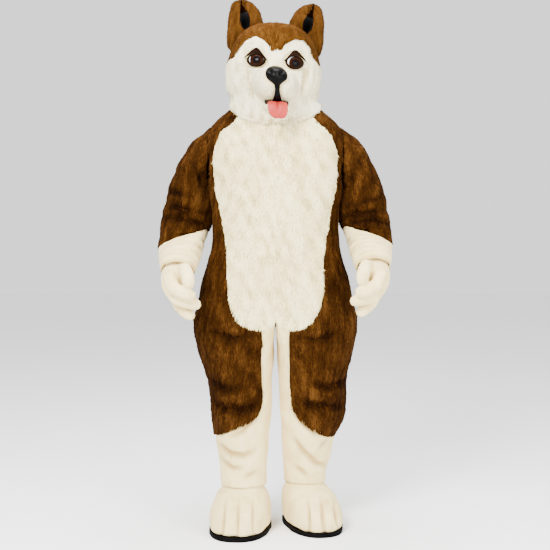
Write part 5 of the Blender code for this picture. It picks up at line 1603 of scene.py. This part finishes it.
@dataclass
class Head:
    """The big head: brown crown and ears, white face, and what is set on it."""

    crown_cut: Cut = Cut(0.47, 0.40, 0.118)
    cheek_cut: Cut = Cut(0.35, 0.31, 0.063)
    ear_cut: Cut = Cut(0.26, 0.18, 0.0284)
    muzzle_cut: Cut = Cut(0.44, 0.18, 0.053)
    jaw_cut: Cut = Cut(0.12, 0.08, 0.0076)
    crown_pile: Pile = Pile(0.015, 0.0024, 0.0036, clump=0.022, locks=11000)
    cheek_pile: Pile = Pile(0.017, 0.0024, 0.0040, clump=0.024, locks=11000, hem=0.018)
    ear_pile: Pile = Pile(0.013, 0.0024, 0.0042, stray=0.25, clump=0.020, locks=6000)
    muzzle_pile: Pile = Pile(0.0080, 0.0020, 0.0020, clump=0.018, locks=9000)
    jaw_pile: Pile = Pile(0.0080, 0.0022, 0.0022, clump=0.015, locks=2200)
    ear_depth: float = 0.0045
    muzzle_depth: float = 0.0035
    jaw_depth: float = 0.0030
    seed: int = 50                  # of the crown's locks; the others follow by tens

    @staticmethod
    def clearings() -> tuple[Clearing, ...]:
        """Finds the eyes, lids and nose, which the crown's and the face's hair keeps off.

        Returns:
            The places to keep bare.
        """
        rounds = []
        for side in Side:
            rounds.append(Clearing.round_node(f"eye_{side.word}", EYE_MARGIN))
            rounds.append(Clearing.round_node(f"eyelid_{side.word}", LID_MARGIN))
        rounds.append(Clearing.round_node("nose", NOSE_MARGIN))
        return tuple(rounds)

    def half(self, side: Side, number: int, bare: tuple[Clearing, ...]) -> None:
        """Makes one side's crown, face and ear.

        Args:
            side: The side.
            number: Its number, which tells its random draws from the other side's.
            bare: Places kept free of hair.
        """
        FurCloth(f"crown_{side.word}", SKULL_AXIS, "brown_fur", "brown_backing", FACE_DEPTH,
                 self.crown_cut, hair="crown_hair", pile=self.crown_pile, comb=CROWN_COMB,
                 seed=self.seed + number, clearings=bare).dress()
        FurCloth(f"cheek_{side.word}", SKULL_AXIS, "white_fur", "cream_backing", FACE_DEPTH,
                 self.cheek_cut, hair="white_fur_hair", pile=self.cheek_pile, comb=CHEEK_COMB,
                 seed=self.seed + 10 + number, clearings=bare, creases=FACE_FOLDS).dress()
        ear_axis = tuple(on_head(side.mirror(point)) for point in EAR_AXIS)
        FurCloth(f"ear_{side.word}", ear_axis, "brown_fur", "brown_backing", self.ear_depth,
                 self.ear_cut, hair="crown_hair", pile=self.ear_pile,
                 comb=comb_from(ear_axis[1], EAR_DROP), seed=self.seed + 20 + number).dress()

    def snout(self) -> None:
        """Makes the muzzle and the jaw."""
        bare = (Clearing.round_node("nose", CLOSE_NOSE_MARGIN),
                Clearing.round_node("philtrum", PHILTRUM_MARGIN))
        FurCloth("muzzle", MUZZLE_AXIS, "white_fur", "cream_backing", self.muzzle_depth,
                 self.muzzle_cut, hair="white_fur_hair", pile=self.muzzle_pile,
                 comb=MUZZLE_COMB, seed=self.seed + 30, creases=MUZZLE_LOBES,
                 clearings=bare).dress()
        FurCloth("jaw", JAW_AXIS, "white_fur", "cream_backing", self.jaw_depth, self.jaw_cut,
                 hair="white_fur_hair", pile=self.jaw_pile, comb=JAW_COMB,
                 seed=self.seed + 31).dress()

    def trim(self, node: str, name: str, material: str, slot: str, levels: int = 2,
             creases: tuple[Crease, ...] = ()) -> bpy.types.Object:
        """Makes a small closed piece: the frame's node rounded and finished.

        Args:
            node: The frame's node.
            name: The piece's name.
            material: The finish's name.
            slot: The record's slot.
            levels: How finely it is rounded.
            creases: What is pressed into it.

        Returns:
            The piece.
        """
        piece = copy_node(node, name)
        refine(piece, levels)
        if creases:
            shape = Shape.of(piece)
            press = sum(crease.press(shape) for crease in creases)
            move_points(piece, shape.points - shape.normals * press[:, None])
        piece.data.shade_smooth()
        finish_piece(piece, material, slot, node)
        return piece

    def philtrum(self) -> None:
        """Makes the strip under the nose, drawn out and laid on the muzzle's rounded form."""
        strip = self.trim("philtrum", "philtrum_leather", "nose_gloss", "black_gloss")
        muzzle = Shape.of_node("muzzle", 2).tree()
        points = Shape.of(strip).points
        middle = points.mean(axis=0)
        aims = middle + (points - middle) * PHILTRUM_STRETCH + PHILTRUM_SHIFT
        seated = []
        for point, aim in zip(points.tolist(), aims.tolist()):
            height = muzzle.find_nearest(point)[3]
            place, normal, _, _ = muzzle.ray_cast(Vector(aim) - FROM_BELOW * LAID_FROM,
                                                  FROM_BELOW)
            if place is None:
                place, normal, _, _ = muzzle.find_nearest(aim)
            seated.append(place + normal * height)
        move_points(strip, np.array(seated))

    def trims(self) -> None:
        """Makes the eyes, lids, ear linings, nose, philtrum, mouth and tongue."""
        for side in Side:
            word = side.word
            self.trim(f"eye_{word}", f"eye_{word}_ball", f"eye_{word}_paint", "brown_eye", 3)
            self.trim(f"eyelid_{word}", f"eyelid_{word}_felt", "lid_felt", "dark_lid")
            self.trim(f"ear_lining_{word}", f"ear_{word}_satin", "ear_satin", "black_lining")
        self.trim("nose", "nose_leather", "nose_gloss", "black_gloss", 3, NOSE_LINES)
        self.philtrum()
        self.trim("mouth_lining", "mouth_cloth", "mouth_black", "black_lining", 1)
        self.trim("tongue", "tongue_cloth", "tongue_satin", "pink_cloth", 3, (TONGUE_LINE,))

    def dress(self) -> None:
        """Makes the whole head."""
        bare = self.clearings()
        for number, side in enumerate(Side):
            self.half(side, number, bare)
        self.snout()
        self.trims()


# ------------------------------------------------------------------ the room
@dataclass
class Studio:
    """A pale floor, soft light and the camera."""

    camera_place: Point = (-0.0018, -4.0, 1.10)
    camera_tilt: float = math.radians(2.32)
    lens: float = 70.8
    sensor: float = 36.0
    sky: float = 1.45                       # strength of the light from all round
    floor_size: float = 30.0
    floor_gap: float = 0.0005               # how far the floor lies under the soles
    lit_point: Point = (0.0, 0.0, 1.1)      # what the lamps look at

    def floor(self) -> None:
        """Makes a wide pale floor."""
        bpy.ops.object.select_all(action="DESELECT")
        bpy.ops.mesh.primitive_plane_add(
            size=self.floor_size, location=(0.0, 0.0, -GROUND_DROP - self.floor_gap))
        floor = bpy.context.active_object
        floor.name = "floor"
        tree = Tree("floor_pale")
        tree.set(Base_Color=(0.93, 0.93, 0.93, 1.0), Roughness=0.9, Specular_IOR_Level=0.1)
        floor.data.materials.append(tree.material)

    def light(self, name: str, place: Point, size: float, power: float) -> None:
        """Makes a square lamp that looks at the costume's middle.

        Args:
            name: The lamp's name.
            place: Where it stands, by its height above the ground.
            size: The length of its side.
            power: Its power in watts.
        """
        lamp = bpy.data.lights.new(name, "AREA")
        lamp.size, lamp.energy = size, power
        made = bpy.data.objects.new(name, lamp)
        made.location = above_ground(place)
        aim = above_ground(self.lit_point) - made.location
        made.rotation_euler = aim.to_track_quat("-Z", "Y").to_euler()
        bpy.context.scene.collection.objects.link(made)

    def lights(self) -> None:
        """Makes soft light from all round and large lamps in front and above."""
        world = bpy.data.worlds.new("studio")
        world.use_nodes = True
        background = world.node_tree.nodes["Background"]
        background.inputs["Color"].default_value = (*WHITE, 1.0)
        background.inputs["Strength"].default_value = self.sky
        bpy.context.scene.world = world
        self.light("key", (-1.5, -3.4, 3.4), 1.3, 560.0)
        self.light("fill", (2.4, -3.0, 1.8), 2.0, 220.0)
        self.light("top", (0.0, -0.2, 4.2), 1.8, 220.0)

    def camera(self) -> None:
        """Makes the camera in front, a little above the belly."""
        data = bpy.data.cameras.new("camera")
        data.lens, data.sensor_width = self.lens, self.sensor
        camera = bpy.data.objects.new("camera", data)
        camera.location = above_ground(self.camera_place)
        camera.rotation_euler = (math.pi / 2 - self.camera_tilt, 0.0, 0.0)
        bpy.context.scene.collection.objects.link(camera)
        bpy.context.scene.camera = camera

    def build(self) -> None:
        """Makes the room."""
        self.floor()
        self.lights()
        self.camera()


def main() -> None:
    """Builds the room, then the costume in order."""
    logging.basicConfig(level=logging.INFO, format="%(name)s: %(message)s")
    Studio().build()
    Suit().dress()
    for side, lift in ((Side.RIGHT, 0.0), (Side.LEFT, 0.012)):
        Arm(side, lift).dress()
        Boot(side).dress()
    Head().dress()


if __name__ == "__main__":
    main()
